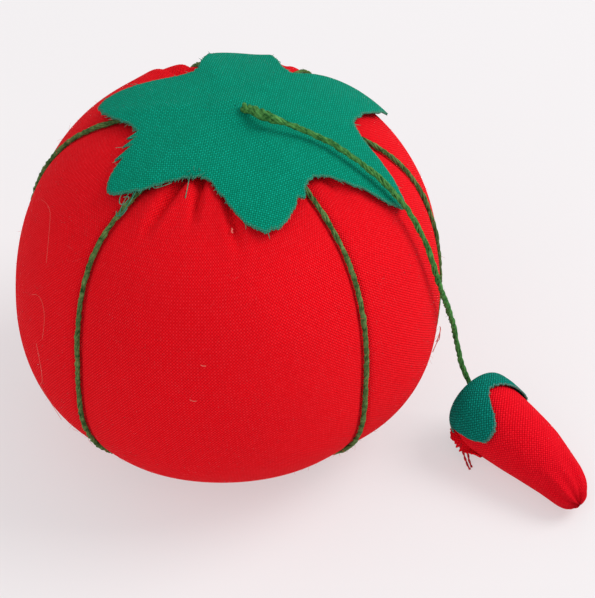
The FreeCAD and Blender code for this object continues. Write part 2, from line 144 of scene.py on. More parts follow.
def apply_modifier(piece: bpy.types.Object, kind: str, **settings: object) -> None:
    """Add a modifier, set it and apply it.

    Args:
        piece: the object to finish.
        kind: the modifier's type.
        settings: values for the modifier's properties.
    """
    select_only(piece)
    modifier = piece.modifiers.new(kind.lower(), kind)
    for key, value in settings.items():
        setattr(modifier, key, value)
    bpy.ops.object.modifier_apply(modifier=modifier.name)


def subdivide_smoothly(piece: bpy.types.Object, levels: int) -> None:
    """Apply a subdivision surface of that many levels."""
    apply_modifier(piece, "SUBSURF", levels=levels, render_levels=levels)


def unit(vectors: Points) -> Points:
    """Scale each row to length one."""
    return vectors / np.maximum(np.linalg.norm(vectors, axis=-1, keepdims=True), SHORTEST)


def smoothstep(low: float, high: float, value: np.ndarray) -> np.ndarray:
    """Smooth rise from 0 at one value to 1 at another.

    Args:
        low: where it starts.
        high: where it ends; below low for a fall.
        value: the values to place on it.

    Returns:
        Numbers from 0 to 1.
    """
    t = np.clip((value - low) / (high - low), 0.0, 1.0)
    return t * t * (3.0 - 2.0 * t)


def wrapped(angle: np.ndarray) -> np.ndarray:
    """Bring angles in radians into the range from -pi to pi."""
    return (angle + math.pi) % FULL_TURN - math.pi


def wrapped_degrees(angle: np.ndarray | float) -> np.ndarray | float:
    """Bring angles in degrees into the range from -180 to 180."""
    return (angle + 180.0) % 360.0 - 180.0


def ripple(rng: np.random.Generator, terms: int, low: int, high: int) -> Callable[[np.ndarray], np.ndarray]:
    """Seeded sum of cosines round a circle.

    Args:
        rng: the source of its phases.
        terms: how many cosines.
        low: fewest waves round the circle.
        high: most waves round the circle.

    Returns:
        A function from angle in radians to a value of about -1 to 1.
    """
    waves = rng.integers(low, high + 1, terms)
    phases = rng.uniform(0.0, FULL_TURN, terms)

    def value(angle: np.ndarray) -> np.ndarray:
        """Value of the sum at each angle."""
        return sum(np.cos(w * angle + p) for w, p in zip(waves, phases)) / math.sqrt(terms)

    return value


def shaped_grid(name: str, columns: int, rows: int, place: Placer, closed: bool = True,
                uv_scale: tuple[float, float] = (1.0, 1.0)) -> bpy.types.Object:
    """Shape a flat grid into a surface given by two parameters.

    Args:
        name: the new object's name.
        columns: faces along the first parameter.
        rows: faces along the second parameter.
        place: gives an n by 3 array of points for two arrays from 0 to 1.
        closed: merge edges that meet, and turn the faces outwards.
        uv_scale: factors from the two parameters to the UV map.

    Returns:
        The new mesh object.
    """
    deselect()
    bpy.ops.mesh.primitive_grid_add(x_subdivisions=columns, y_subdivisions=rows, size=1.0, calc_uvs=True)
    piece = bpy.context.object
    piece.name = name
    piece.data.name = name
    flat = read_points(piece)
    write_points(piece, place(flat[:, 0] + 0.5, flat[:, 1] + 0.5))
    layer = piece.data.uv_layers.active
    layer.name = UV_MAP
    coords = np.empty(len(layer.data) * 2)
    layer.data.foreach_get("uv", coords)
    coords = coords.reshape(-1, 2) * np.array(uv_scale)
    layer.data.foreach_set("uv", coords.reshape(-1))
    if closed:
        bpy.ops.object.mode_set(mode="EDIT")
        bpy.ops.mesh.select_all(action="SELECT")
        bpy.ops.mesh.remove_doubles(threshold=WELD)
        bpy.ops.mesh.normals_make_consistent(inside=False)
        bpy.ops.object.mode_set(mode="OBJECT")
    bpy.ops.object.shade_smooth()
    return piece


def mark_rim(piece: bpy.types.Object) -> None:
    """Mark the open edge of a sheet, away from its middle hole, in the attribute that its finish reads."""
    uses = np.zeros(len(piece.data.edges), int)
    index = {tuple(sorted(edge.vertices)): edge.index for edge in piece.data.edges}
    for face in piece.data.polygons:
        for key in face.edge_keys:
            uses[index[tuple(sorted(key))]] += 1
    points = read_points(piece)
    middle = points.mean(axis=0)
    widest_hole = 3.0 * MM
    rim = np.zeros(len(points))
    for edge, count in zip(piece.data.edges, uses):
        if count == 1 and np.linalg.norm(points[edge.vertices[0]] - middle) > widest_hole:
            rim[list(edge.vertices)] = 1.0
    layer = piece.data.attributes.new(RIM_MARK, "FLOAT", "POINT")
    layer.data.foreach_set("value", rim)


def lay_flat(piece: bpy.types.Object, flat: np.ndarray) -> None:
    """Give a piece's UV map one place for each vertex.

    Args:
        piece: the mesh object.
        flat: an n by 2 array of places in metres.
    """
    index = np.empty(len(piece.data.loops), int)
    piece.data.loops.foreach_get("vertex_index", index)
    piece.data.uv_layers[UV_MAP].data.foreach_set("uv", flat[index].reshape(-1))


def face_away(piece: bpy.types.Object, inside: np.ndarray) -> None:
    """Turn the faces of an open sheet away from a point that it covers.

    Args:
        piece: the mesh object.
        inside: the point.
    """
    outward = read_points(piece).mean(axis=0) - inside
    if read_normals(piece).mean(axis=0).dot(outward) < 0.0:
        piece.data.flip_normals()


def middle_of(node: str) -> Vector:
    """Middle of the box of a node in the frame."""
    low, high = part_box(node)
    return (low + high) / 2.0


def along(points: Points) -> np.ndarray:
    """Distance along a line at each of its points."""
    return np.concatenate([[0.0], np.cumsum(np.linalg.norm(np.diff(points, axis=0), axis=1))])


def evenly(points: Points, step: float) -> Points:
    """Points at even distances along a line, ends included.

    Args:
        points: the line.
        step: about how far apart the new points are.

    Returns:
        The new points.
    """
    distance = along(points)
    count = max(3, int(round(distance[-1] / step)) + 1)
    wanted = np.linspace(0.0, distance[-1], count)
    return np.stack([np.interp(wanted, distance, points[:, k]) for k in range(3)], axis=1)


def frames_along(points: Points) -> tuple[Points, Points]:
    """Two directions across a line at each point, carried along it without twist.

    Args:
        points: the line.

    Returns:
        Two n by 3 arrays of unit vectors.
    """
    tangent = unit(np.gradient(points, axis=0))
    seed = np.array([0.0, 0.0, 1.0]) if abs(tangent[0][2]) < 0.9 else np.array([1.0, 0.0, 0.0])
    side = [unit(seed - tangent[0] * seed.dot(tangent[0]))]
    for direction in tangent[1:]:
        carried = side[-1] - direction * side[-1].dot(direction)
        side.append(unit(carried))
    first = np.array(side)
    return first, np.cross(tangent, first)


def nurbs_line(name: str, route: Sequence[Stop], order: int = 3, resolution: int = 16) -> Points:
    """Points read from a NURBS spline that its control points draw along.

    Args:
        name: name of the passing curve.
        route: control points, in metres.
        order: order of the spline.
        resolution: points per control point.

    Returns:
        The line's points.
    """
    curve = bpy.data.curves.new(name, "CURVE")
    curve.dimensions = "3D"
    curve.resolution_u = resolution
    spline = curve.splines.new("NURBS")
    spline.points.add(len(route) - 1)
    for point, place in zip(spline.points, route):
        point.co = (*place, 1.0)
    spline.order_u = order
    spline.use_endpoint_u = True
    holder = bpy.data.objects.new(name, curve)
    bpy.context.scene.collection.objects.link(holder)
    mesh = bpy.data.meshes.new_from_object(holder)
    line = np.array([vertex.co[:] for vertex in mesh.vertices])
    bpy.data.objects.remove(holder)
    bpy.data.curves.remove(curve)
    bpy.data.meshes.remove(mesh)
    return line


def strands(name: str, lines: Sequence[Points], radii: Sequence[float | np.ndarray],
            sides: int = 6) -> bpy.types.Object:
    """Closed tubes along several lines as one mesh, with a UV map along and round each.

    Args:
        name: the new object's name.
        lines: the tubes' middle lines.
        radii: for each tube one radius, or one at each point.
        sides: faces round a tube.

    Returns:
        The new mesh object.
    """
    turn = np.arange(sides) * FULL_TURN / sides
    places, faces, chart, start = [], [], [], 0
    for line, radius in zip(lines, radii):
        first, second = frames_along(line)
        width = np.broadcast_to(np.asarray(radius, float), (len(line),))
        ring = first[:, None] * np.cos(turn)[:, None] + second[:, None] * np.sin(turn)[:, None]
        places.append((line[:, None] + ring * width[:, None, None]).reshape(-1, 3))
        places.append(line[[0, -1]])
        distance = along(line) / MM
        first_pole = start + len(line) * sides
        last_ring = start + (len(line) - 1) * sides
        for side in range(sides):
            after = (side + 1) % sides
            low, high = side / sides, (side + 1) / sides
            faces.append((first_pole, start + after, start + side))
            chart += [(0.0, low), (0.0, high), (0.0, low)]
            faces.append((first_pole + 1, last_ring + side, last_ring + after))
            chart += [(distance[-1], low), (distance[-1], low), (distance[-1], high)]
            for row in range(len(line) - 1):
                here = start + row * sides
                ahead = here + sides
                faces.append((here + side, here + after, ahead + after, ahead + side))
                chart += [(distance[row], low), (distance[row], high),
                          (distance[row + 1], high), (distance[row + 1], low)]
        start = first_pole + 2
    mesh = bpy.data.meshes.new(name)
    mesh.from_pydata(np.concatenate(places).tolist(), [], faces)
    layer = mesh.uv_layers.new(name=UV_MAP)
    layer.data.foreach_set("uv", np.array(chart, float).reshape(-1))
    mesh.polygons.foreach_set("use_smooth", [True] * len(faces))
    mesh.update()
    piece = bpy.data.objects.new(name, mesh)
    bpy.context.scene.collection.objects.link(piece)
    return piece


@dataclass(frozen=True)
class Lay:
    """How a cord is laid up from its strands.

    Attributes:
        count: how many strands.
        strand_radius: radius of one strand.
        lay_radius: distance of a strand's middle from the cord's middle.
        pitch: length of one whole turn.
        step: length of one face along a strand.
        sides: faces round a strand.
        wander: how far a strand strays from its place.
        seed: seed of that straying.
        wave: shortest wave of that straying.
        slip: how far a strand strays round the cord, in radians.
        slub: share by which a strand's radius changes.
    """

    count: int = 5
    strand_radius: float = 0.20 * MM
    lay_radius: float = 0.23 * MM
    pitch: float = 5.0 * MM
    step: float = 0.36 * MM
    sides: int = 7
    wander: float = 0.05 * MM
    seed: int = 3
    wave: float = 3.0 * MM
    slip: float = 0.5
    slub: float = 0.14

    def build(self, name: str, line: Points,
              swell: Callable[[np.ndarray], np.ndarray] | None = None) -> bpy.types.Object:
        """Lay strands round a line.

        Args:
            name: the new object's name.
            line: the cord's middle line.
            swell: factor on both radii for distances along the line.

        Returns:
            The cord as one mesh object.
        """
        rng = np.random.default_rng(self.seed)
        middle = evenly(line, self.step)
        distance = along(middle)
        first, second = frames_along(middle)
        factor = np.ones(len(middle)) if swell is None else swell(distance)
        lap = FULL_TURN * distance / distance[-1]
        waves = max(3, int(distance[-1] / self.wave))
        routes, widths = [], []
        start = rng.uniform(0.0, FULL_TURN)
        for strand in range(self.count):
            stray = ripple(rng, 5, 2, waves)
            turn = start + FULL_TURN * (distance / self.pitch + strand / self.count) + self.slip * stray(lap)
            reach = (self.lay_radius + self.wander * ripple(rng, 5, 2, waves)(lap)) * factor
            offset = first * np.cos(turn)[:, None] + second * np.sin(turn)[:, None]
            routes.append(middle + offset * reach[:, None])
            thick = 1.0 + self.slub * ripple(rng, 5, 2, 2 * waves)(lap)
            widths.append(self.strand_radius * factor * thick)
        return strands(name, routes, widths, self.sides)


@dataclass(frozen=True)
class Fuzz:
    """Short fibres that stand off a cord.

    Attributes:
        spacing: length of cord for one fibre.
        length: length of a fibre.
        radius: radius of a fibre.
        cord_radius: radius of the cord that they leave.
        seed: seed of their places.
        sunk: share of that radius at which they start.
    """

    spacing: float = 0.32 * MM
    length: float = 0.9 * MM
    radius: float = 0.022 * MM
    cord_radius: float = 0.38 * MM
    seed: int = 9
    sunk: float = 0.8

    def build(self, name: str, line: Points) -> bpy.types.Object:
        """Stand fibres off a line.

        Args:
            name: the new object's name.
            line: the cord's middle line.

        Returns:
            The fibres as one mesh object.
        """
        rng = np.random.default_rng(self.seed)
        middle = evenly(line, self.spacing)
        tangent = unit(np.gradient(middle, axis=0))
        first, second = frames_along(middle)
        steps = np.linspace(0.0, 1.0, 4)[:, None]
        routes = []
        for place, ahead, across, aside in zip(middle, tangent, first, second):
            turn = rng.uniform(0.0, FULL_TURN)
            out = across * math.cos(turn) + aside * math.sin(turn)
            bend = aside * math.cos(turn) - across * math.sin(turn)
            size = self.length * rng.uniform(0.3, 1.0)
            lean = (ahead * rng.uniform(-1.3, 1.3) + out * rng.uniform(0.15, 0.7)
                    + bend * rng.uniform(-0.5, 0.5))
            start = place + out * self.cord_radius * self.sunk
            routes.append(start + steps * lean * size - steps ** 2 * out * size * rng.uniform(0.0, 0.3))
        taper = np.array(FIBRE_TAPER) * self.radius
        return strands(name, routes, [taper] * len(routes), 3)


def ring_of_cord(name: str, local: Points, centre: Vector, axis: Vector, radius: float,
                 sides: int) -> bpy.types.Object:
    """Cord whose closed line is given about the Z axis, set on another axis.

    Args:
        name: the new object's name.
        local: its line about the Z axis.
        centre: where its middle goes.
        axis: where the Z axis points.
        radius: radius of the cord.
        sides: faces round it.

    Returns:
        The cord as one mesh object.
    """
    basis = np.array(axis.to_track_quat("Z", "Y").to_matrix())
    return strands(name, [local @ basis.T + np.array(centre)], [radius], sides)


def knot_of_cord(name: str, centre: Vector, axis: Vector, size: float, depth: float,
                 radius: float) -> bpy.types.Object:
    """Drawn-up knot: a cord that winds through itself in a ring.

    Args:
        name: the new object's name.
        centre: the knot's middle.
        axis: direction that it is drawn along.
        size: radius of the whole knot.
        depth: half of its height.
        radius: radius of its cord.

    Returns:
        The knot as one mesh object.
    """
    rounds, swings, tightness = 2, 3, 0.60
    turn = np.linspace(0.0, FULL_TURN, 97)
    ring = size - radius
    middle = ring * tightness
    reach = middle + (ring - middle) * np.cos(swings * turn)
    local = np.stack([reach * np.cos(rounds * turn), reach * np.sin(rounds * turn),
                      (depth - radius) * np.sin(swings * turn)], axis=1)
    return ring_of_cord(name, local, centre, axis, radius, 10)


# ---------------------------------------------------------------- finishes


def group_socket(tree: bpy.types.NodeTree, name: str, way: str, kind: str, default: object = None) -> None:
    """Add a socket to a node group's interface.

    Args:
        tree: the node group.
        name: the socket's name.
        way: "INPUT" or "OUTPUT".
        kind: the socket's type.
        default: its default value.
    """
    socket = tree.interface.new_socket(name=name, in_out=way, socket_type=kind)
    if default is not None:
        socket.default_value = default


class Wiring:
    """Short way to add and link nodes in one tree."""

    def __init__(self, tree: bpy.types.NodeTree) -> None:
        """Keep the tree that nodes are added to."""
        self.tree = tree

    def add(self, kind: str, **settings: object) -> bpy.types.Node:
        """Add a node and set its properties.

        Args:
            kind: the node's type.
            settings: values for its properties.

        Returns:
            The node.
        """
        node = self.tree.nodes.new(kind)
        for key, value in settings.items():
            setattr(node, key, value)
        return node

    def link(self, source: object, target: object) -> None:
        """Link an output to an input, or set the input if the source is a plain value."""
        if isinstance(source, bpy.types.NodeSocket):
            self.tree.links.new(source, target)
        else:
            target.default_value = source

    def math(self, operation: str, first: object, second: object = 0.0, third: object = None,
             clamp: bool = False) -> bpy.types.NodeSocket:
        """Math node of one operation.

        Args:
            operation: its operation.
            first: socket or number.
            second: socket or number.
            third: socket or number for the operations that take three.
            clamp: keep the result between 0 and 1.

        Returns:
            The node's output socket.
        """
        node = self.add("ShaderNodeMath", operation=operation, use_clamp=clamp)
        self.link(first, node.inputs[0])
        self.link(second, node.inputs[1])
        if third is not None:
            self.link(third, node.inputs[2])
        return node.outputs[0]

    def vector(self, operation: str, first: object, second: object = None) -> bpy.types.NodeSocket:
        """Vector math node of one operation.

        Args:
            operation: its operation.
            first: socket or vector.
            second: socket or vector, a scale for "SCALE", or None for the operations that take one.

        Returns:
            The node's output socket.
        """
        node = self.add("ShaderNodeVectorMath", operation=operation)
        self.link(first, node.inputs[0])
        if second is not None:
            self.link(second, node.inputs["Scale" if operation == "SCALE" else 1])
        return node.outputs[0]

    def noise(self, vector: object, scale: float, detail: float = 2.0,
              roughness: float = 0.5) -> bpy.types.NodeSocket:
        """Noise texture's value on a vector.

        Args:
            vector: socket of the vector.
            scale: its scale.
            detail: how many finer layers it has.
            roughness: how strong they are.

        Returns:
            The value's socket.
        """
        node = self.add("ShaderNodeTexNoise")
        self.link(vector, node.inputs["Vector"])
        node.inputs["Scale"].default_value = scale
        node.inputs["Detail"].default_value = detail
        node.inputs["Roughness"].default_value = roughness
        return node.outputs["Fac"]

    def mix(self, factor: object, first: object, second: object) -> bpy.types.NodeSocket:
        """Mix of two colours.

        Args:
            factor: share of the second.
            first: socket or colour.
            second: socket or colour.

        Returns:
            The colour's socket.
        """
        node = self.add("ShaderNodeMix", data_type="RGBA")
        self.link(factor, node.inputs[0])
        self.link(first, node.inputs[6])
        self.link(second, node.inputs[7])
        return node.outputs[2]

    def bump(self, shader: bpy.types.Node, height: object, distance: float, strength: float = 1.0) -> None:
        """Bump the surface of a shader.

        Args:
            shader: the shader's node.
            height: socket of the height.
            distance: height that a value of 1 stands for.
            strength: how strongly it shows.
        """
        node = self.add("ShaderNodeBump")
        node.inputs["Strength"].default_value = strength
        node.inputs["Distance"].default_value = distance
        self.link(height, node.inputs["Height"])
        self.link(node.outputs["Normal"], shader.inputs["Normal"])


WANDER_SCALE = 260.0
THREAD_ROUNDNESS = 3.4
CROSS_THREAD = 0.72
CROWN_POWER = 2.2
GAP_DEPTH = 1.35
RUN_SHARE = 0.12


@functools.cache
def weave_group() -> bpy.types.NodeTree:
    """Node group of a plain weave: thread relief, the mask of the painted shade between threads, the mask of
    the painted highlight on the crowns of the threads and thread-to-thread change.

    Returns:
        The node group.
    """
    tree = bpy.data.node_groups.new("plain_weave", "ShaderNodeTree")
    group_socket(tree, "Vector", "INPUT", "NodeSocketVector")
    group_socket(tree, "Threads", "INPUT", "NodeSocketFloat", 2300.0)
    group_socket(tree, "Slub", "INPUT", "NodeSocketFloat", 0.25)
    for name in ("Relief", "Gap", "Change", "Crown"):
        group_socket(tree, name, "OUTPUT", "NodeSocketFloat")
    wire = Wiring(tree)
    source = wire.add("NodeGroupInput")
    sink = wire.add("NodeGroupOutput")
    wander = wire.add("ShaderNodeTexNoise")
    wire.link(source.outputs["Vector"], wander.inputs["Vector"])
    wander.inputs["Scale"].default_value = WANDER_SCALE
    centred = wire.vector("SUBTRACT", wander.outputs["Color"], (0.5, 0.5, 0.5))
    spread = wire.vector("SCALE", centred, source.outputs["Slub"])
    scaled = wire.vector("SCALE", source.outputs["Vector"], source.outputs["Threads"])
    moved = wire.vector("ADD", scaled, spread)
    parts = wire.add("ShaderNodeSeparateXYZ")
    wire.link(moved, parts.inputs[0])
    heights = []
    for across, lengthwise, phase in ((0, 1, 0.0), (1, 0, 1.0)):
        thread = parts.outputs[across]
        run = parts.outputs[lengthwise]
        inside = wire.math("SUBTRACT", wire.math("FRACT", thread), 0.5)
        edge = wire.math("MULTIPLY", wire.math("MULTIPLY", inside, inside), THREAD_ROUNDNESS)
        profile = wire.math("SQRT", wire.math("SUBTRACT", 1.0, edge, clamp=True))
        number = wire.math("ADD", wire.math("FLOOR", thread), phase)
        angle = wire.math("MULTIPLY", wire.math("ADD", wire.math("SUBTRACT", run, 0.5), number), math.pi)
        wave = wire.math("MULTIPLY_ADD", wire.math("COSINE", angle), 0.5, 0.5)
        heights.append(wire.math("MULTIPLY", profile, wave))
    relief = wire.math("MAXIMUM", heights[0], heights[1])
    wire.link(relief, sink.inputs["Relief"])
    # Mask of the painted highlight: the crowns of the threads, the cross threads a little lower.
    crown = wire.math("MAXIMUM", heights[0], wire.math("MULTIPLY", heights[1], CROSS_THREAD))
    wire.link(wire.math("POWER", crown, CROWN_POWER), sink.inputs["Crown"])
    # Mask of the painted shade between the threads.
    gap = wire.math("SUBTRACT", 1.0, wire.math("MULTIPLY", relief, GAP_DEPTH), clamp=True)
    wire.link(gap, sink.inputs["Gap"])
    stretched = wire.vector("MULTIPLY", wire.vector("FLOOR", moved), (1.0, RUN_SHARE, 1.0))
    white = wire.add("ShaderNodeTexWhiteNoise", noise_dimensions="2D")
    wire.link(stretched, white.inputs["Vector"])
    wire.link(white.outputs["Value"], sink.inputs["Change"])
    return tree


@functools.cache
def mottle_group() -> bpy.types.NodeTree:
    """Node group of slow unevenness in dyed cloth: a patchy mask and a fine fibrous one.

    Returns:
        The node group.
    """
    tree = bpy.data.node_groups.new("dye_mottle", "ShaderNodeTree")
    group_socket(tree, "Vector", "INPUT", "NodeSocketVector")
    group_socket(tree, "Patches", "OUTPUT", "NodeSocketFloat")
    group_socket(tree, "Fibre", "OUTPUT", "NodeSocketFloat")
    wire = Wiring(tree)
    source = wire.add("NodeGroupInput")
    sink = wire.add("NodeGroupOutput")
    patches = wire.noise(source.outputs["Vector"], 70.0, 3.0, 0.55)
    wire.link(patches, sink.inputs["Patches"])
    wire.link(wire.noise(source.outputs["Vector"], 5200.0, 2.0, 0.7), sink.inputs["Fibre"])
    return tree


def new_material(name: str, roughness: float,
                 sheen: float) -> tuple[bpy.types.Material, Wiring, bpy.types.Node]:
    """Material with its Principled shader, whose fixed values are set on its own sockets.

    Args:
        name: the material's name.
        roughness: sheen roughness.
        sheen: sheen weight.

    Returns:
        The material, its wiring and its Principled node.
    """
    material = bpy.data.materials.new(name)
    material.use_nodes = True
    tree = material.node_tree
    shader = tree.nodes["Principled BSDF"]
    shader.inputs["Specular IOR Level"].default_value = LEAST_SPECULAR
    shader.inputs["Sheen Weight"].default_value = sheen
    shader.inputs["Sheen Roughness"].default_value = roughness
    return material, Wiring(tree), shader


@dataclass(frozen=True)
class ClothFinish:
    """Dyed plain-weave cotton.

    Attributes:
        name: the material's name.
        lit: colour of the thread's crown.
        deep: colour of the painted shade between threads, also the darker dye of the slow patches.
        highlight_and_fray: colour of the painted highlight on the crowns of the threads.
        threads: threads per metre.
        turn: turn of the threads from the UV map's axes, in degrees.
        relief: height of a thread.
        sheen: weight of the soft edge gloss.
        fuzz: colour of that gloss.
        contrast: how strongly the painted highlight shows on the crowns of the threads.
        rim: whether the piece has a cut edge that shows.
        rim_colour: colour of the fibres at that edge.
    """

    name: str
    lit: Colour
    deep: Colour
    highlight_and_fray: Colour
    threads: float
    turn: float
    relief: float
    sheen: float
    fuzz: Colour
    contrast: float = 0.9
    rim: bool = False
    rim_colour: Colour = (0.24, 0.30, 0.20, 1.0)

    def build(self) -> bpy.types.Material:
        """Build the material."""
        material, wire, shader = new_material(self.name, 0.45, self.sheen)
        shader.inputs["Sheen Tint"].default_value = self.fuzz
        uv = wire.add("ShaderNodeUVMap", uv_map=UV_MAP)
        mapping = wire.add("ShaderNodeMapping")
        mapping.inputs["Rotation"].default_value = (0.0, 0.0, math.radians(self.turn))
        wire.link(uv.outputs["UV"], mapping.inputs["Vector"])
        weave = wire.add("ShaderNodeGroup", node_tree=weave_group())
        wire.link(mapping.outputs["Vector"], weave.inputs["Vector"])
        weave.inputs["Threads"].default_value = self.threads
        weave.inputs["Slub"].default_value = 0.5
        place = wire.add("ShaderNodeTexCoord")
        mottle = wire.add("ShaderNodeGroup", node_tree=mottle_group())
        wire.link(place.outputs["Object"], mottle.inputs["Vector"])
        slub = wire.math("MULTIPLY_ADD", weave.outputs["Change"], 0.5, 0.5)
        # Painted highlight: the crowns of the threads, varied thread by thread, lighten the colour towards
        # the highlight colour.
        bright = wire.math("MULTIPLY", wire.math("MULTIPLY", weave.outputs["Crown"], slub), self.contrast)
        patch = wire.math("MULTIPLY_ADD", mottle.outputs["Patches"], 0.9, -0.25, clamp=True)
        body = wire.mix(wire.math("MULTIPLY", patch, 0.35), self.lit, self.deep)
        # Painted shade: the gaps between the threads darken the colour towards deep.
        sunk = wire.mix(wire.math("MULTIPLY", weave.outputs["Gap"], 0.85), body, self.deep)
        colour = wire.mix(bright, sunk, self.highlight_and_fray)
        if self.rim:
            rim = wire.add("ShaderNodeAttribute", attribute_name=RIM_MARK)
            frayed = wire.math("MULTIPLY_ADD", mottle.outputs["Fibre"], 1.2, -0.1, clamp=True)
            # Share of frayed, paler fibres along the cut edge.
            highlight_and_fray = wire.math("MULTIPLY", wire.math("MULTIPLY", rim.outputs["Fac"], frayed), 0.45)
            colour = wire.mix(highlight_and_fray, colour, self.rim_colour)
        wire.link(colour, shader.inputs["Base Color"])
        rough = wire.math("MULTIPLY_ADD", mottle.outputs["Fibre"], 0.2, 0.72)
        wire.link(rough, shader.inputs["Roughness"])
        height = wire.math("MULTIPLY_ADD", mottle.outputs["Fibre"], 0.30, weave.outputs["Relief"])
        wire.bump(shader, height, self.relief)
        return material


@dataclass(frozen=True)
class FibreFinish:
    """Spun cotton: a cord, a thread or lint, streaked along its length.

    Attributes:
        name: the material's name.
        lit: colour of the fibres that catch the light.
        deep: colour of the rest, the fibres in painted shade.
        sheen: weight of the soft edge gloss.
        streak: length of a fibre streak against its width.
        relief: height of the fibres.
        patchy: how much the colour wanders along the cord.
    """

    name: str
    lit: Colour
    deep: Colour
    sheen: float = 0.3
    streak: float = 0.9
    relief: float = 0.00010
    patchy: float = 1.1

    def build(self) -> bpy.types.Material:
        """Build the material."""
        material, wire, shader = new_material(self.name, 0.5, self.sheen)
        shader.inputs["Sheen Tint"].default_value = self.lit
        uv = wire.add("ShaderNodeUVMap", uv_map=UV_MAP)
        mapping = wire.add("ShaderNodeMapping")
        mapping.inputs["Scale"].default_value = (self.streak, 1.6, 1.0)
        mapping.inputs["Rotation"].default_value = (0.0, 0.0, math.radians(8.0))
        wire.link(uv.outputs["UV"], mapping.inputs["Vector"])
        fibre = wire.noise(mapping.outputs["Vector"], 1.0, 5.0, 0.75)
        place = wire.add("ShaderNodeTexCoord")
        patches = wire.noise(place.outputs["Object"], 1900.0, 3.0, 0.6)
        sharp = wire.math("MULTIPLY_ADD", fibre, 2.6, -0.85, clamp=True)
        change = wire.math("SUBTRACT", patches, 0.5)
        wander = wire.math("MULTIPLY_ADD", change, self.patchy, sharp, clamp=True)
        # Painted light and shade on the fibres: the sharp streaks mix deep and lit along the cord, and the
        # slow patches shift that mix at random.
        wire.link(wire.mix(wander, self.deep, self.lit), shader.inputs["Base Color"])
        wire.link(wire.math("MULTIPLY_ADD", fibre, 0.25, 0.65), shader.inputs["Roughness"])
        wire.bump(shader, fibre, self.relief, 0.9)
        return material


@dataclass(frozen=True)
class GrainFinish:
    """Loose packed grains, such as sawdust or emery.

    Attributes:
        name: the material's name.
        lit: colour of the pale grains.
        deep: colour of the dark grains.
        grain: grains per metre.
        relief: height of a grain.
    """

    name: str
    lit: Colour
    deep: Colour
    grain: float
    relief: float = 0.0003

    def build(self) -> bpy.types.Material:
        """Build the material."""
        material, wire, shader = new_material(self.name, 0.5, 0.0)
        place = wire.add("ShaderNodeTexCoord")
        cells = wire.add("ShaderNodeTexVoronoi")
        wire.link(place.outputs["Object"], cells.inputs["Vector"])
        cells.inputs["Scale"].default_value = self.grain
        parts = wire.add("ShaderNodeSeparateXYZ")
        wire.link(cells.outputs["Color"], parts.inputs[0])
        wire.link(wire.mix(parts.outputs[0], self.deep, self.lit), shader.inputs["Base Color"])
        wire.link(wire.math("MULTIPLY_ADD", parts.outputs[1], 0.3, 0.65), shader.inputs["Roughness"])
        wire.bump(shader, cells.outputs["Distance"], self.relief)
        return material


def dress(piece: bpy.types.Object, material: bpy.types.Material, body: Body, slot: Slot,
          *replaced: str) -> bpy.types.Object:
    """Give a piece its material and body, and hide the nodes that it stands for.

    Args:
        piece: the finished mesh object.
        material: its material.
        body: the body that it rides on.
        slot: a material slot; not used.
        replaced: names of the nodes that it stands for.

    Returns:
        The same object.
    """
    piece.data.materials.clear()
    piece.data.materials.append(material)
    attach(piece, body.value)
    if replaced:
        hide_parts(*replaced)
    LOG.info("%s: %d faces", piece.name, len(piece.data.polygons))
    return piece


# ---------------------------------------------------------------- inflating cloth


@dataclass(frozen=True)
class Inflation:
    """Swelling of a stuffed cloth form by a short cloth simulation.

    Attributes:
        enlarge: factor to the size at which the cloth is solved.
        pressure: pressure of the stuffing.
        reach: furthest that a point may move.
        frames: frames solved.
    """

    enlarge: float
    pressure: float
    reach: float
    frames: int = 20

    def swell(self, piece: bpy.types.Object, held: np.ndarray) -> None:
        """Swell a piece where it isn't held.

        Args:
            piece: the mesh object, whose points are moved.
            held: weight from 0, free, to 1, held, for each vertex.
        """
        trial = piece.copy()
        trial.data = piece.data.copy()
        bpy.context.scene.collection.objects.link(trial)
        trial.data.transform(Matrix.Scale(self.enlarge, 4))
        group = trial.vertex_groups.new(name="held")
        for index, weight in enumerate(held):
            group.add([index], float(weight), "REPLACE")
        cloth = trial.modifiers.new("cloth", "CLOTH")
        solver = cloth.settings
        solver.quality = 6
        solver.mass = 0.3
        solver.tension_stiffness = 12.0
        solver.compression_stiffness = 12.0
        solver.shear_stiffness = 4.0
        solver.bending_stiffness = 0.4
        solver.use_pressure = True
        solver.uniform_pressure_force = self.pressure
        solver.vertex_group_mass = "held"
        solver.pin_stiffness = 1.0
        solver.effector_weights.gravity = 0.0
        cloth.collision_settings.use_collision = False
        cloth.point_cache.frame_start = 1
        cloth.point_cache.frame_end = self.frames
        scene = bpy.context.scene
        for frame in range(1, self.frames + 1):
            scene.frame_set(frame)
        solved = trial.evaluated_get(bpy.context.evaluated_depsgraph_get())
        flat = np.empty(len(solved.data.vertices) * 3)
        solved.data.vertices.foreach_get("co", flat)
        rest = read_points(piece)
        moved = flat.reshape(-1, 3) / self.enlarge - rest
        length = np.linalg.norm(moved, axis=1, keepdims=True)
        limit = self.reach * np.tanh(length / self.reach) / np.maximum(length, SHORTEST)
        write_points(piece, rest + moved * limit)
        LOG.info("%s swelled by up to %.2f mm", piece.name, float(length.max()) / MM)
        bpy.data.objects.remove(trial)
        scene.frame_set(1)


# ---------------------------------------------------------------- the ball


PATH_LEVELS = (-1.0, 0.0, 0.42, 0.66, 1.0)
PATH_STEPS = 401
PATH_BLUR = 61
LEVEL_SPAN = 50.0


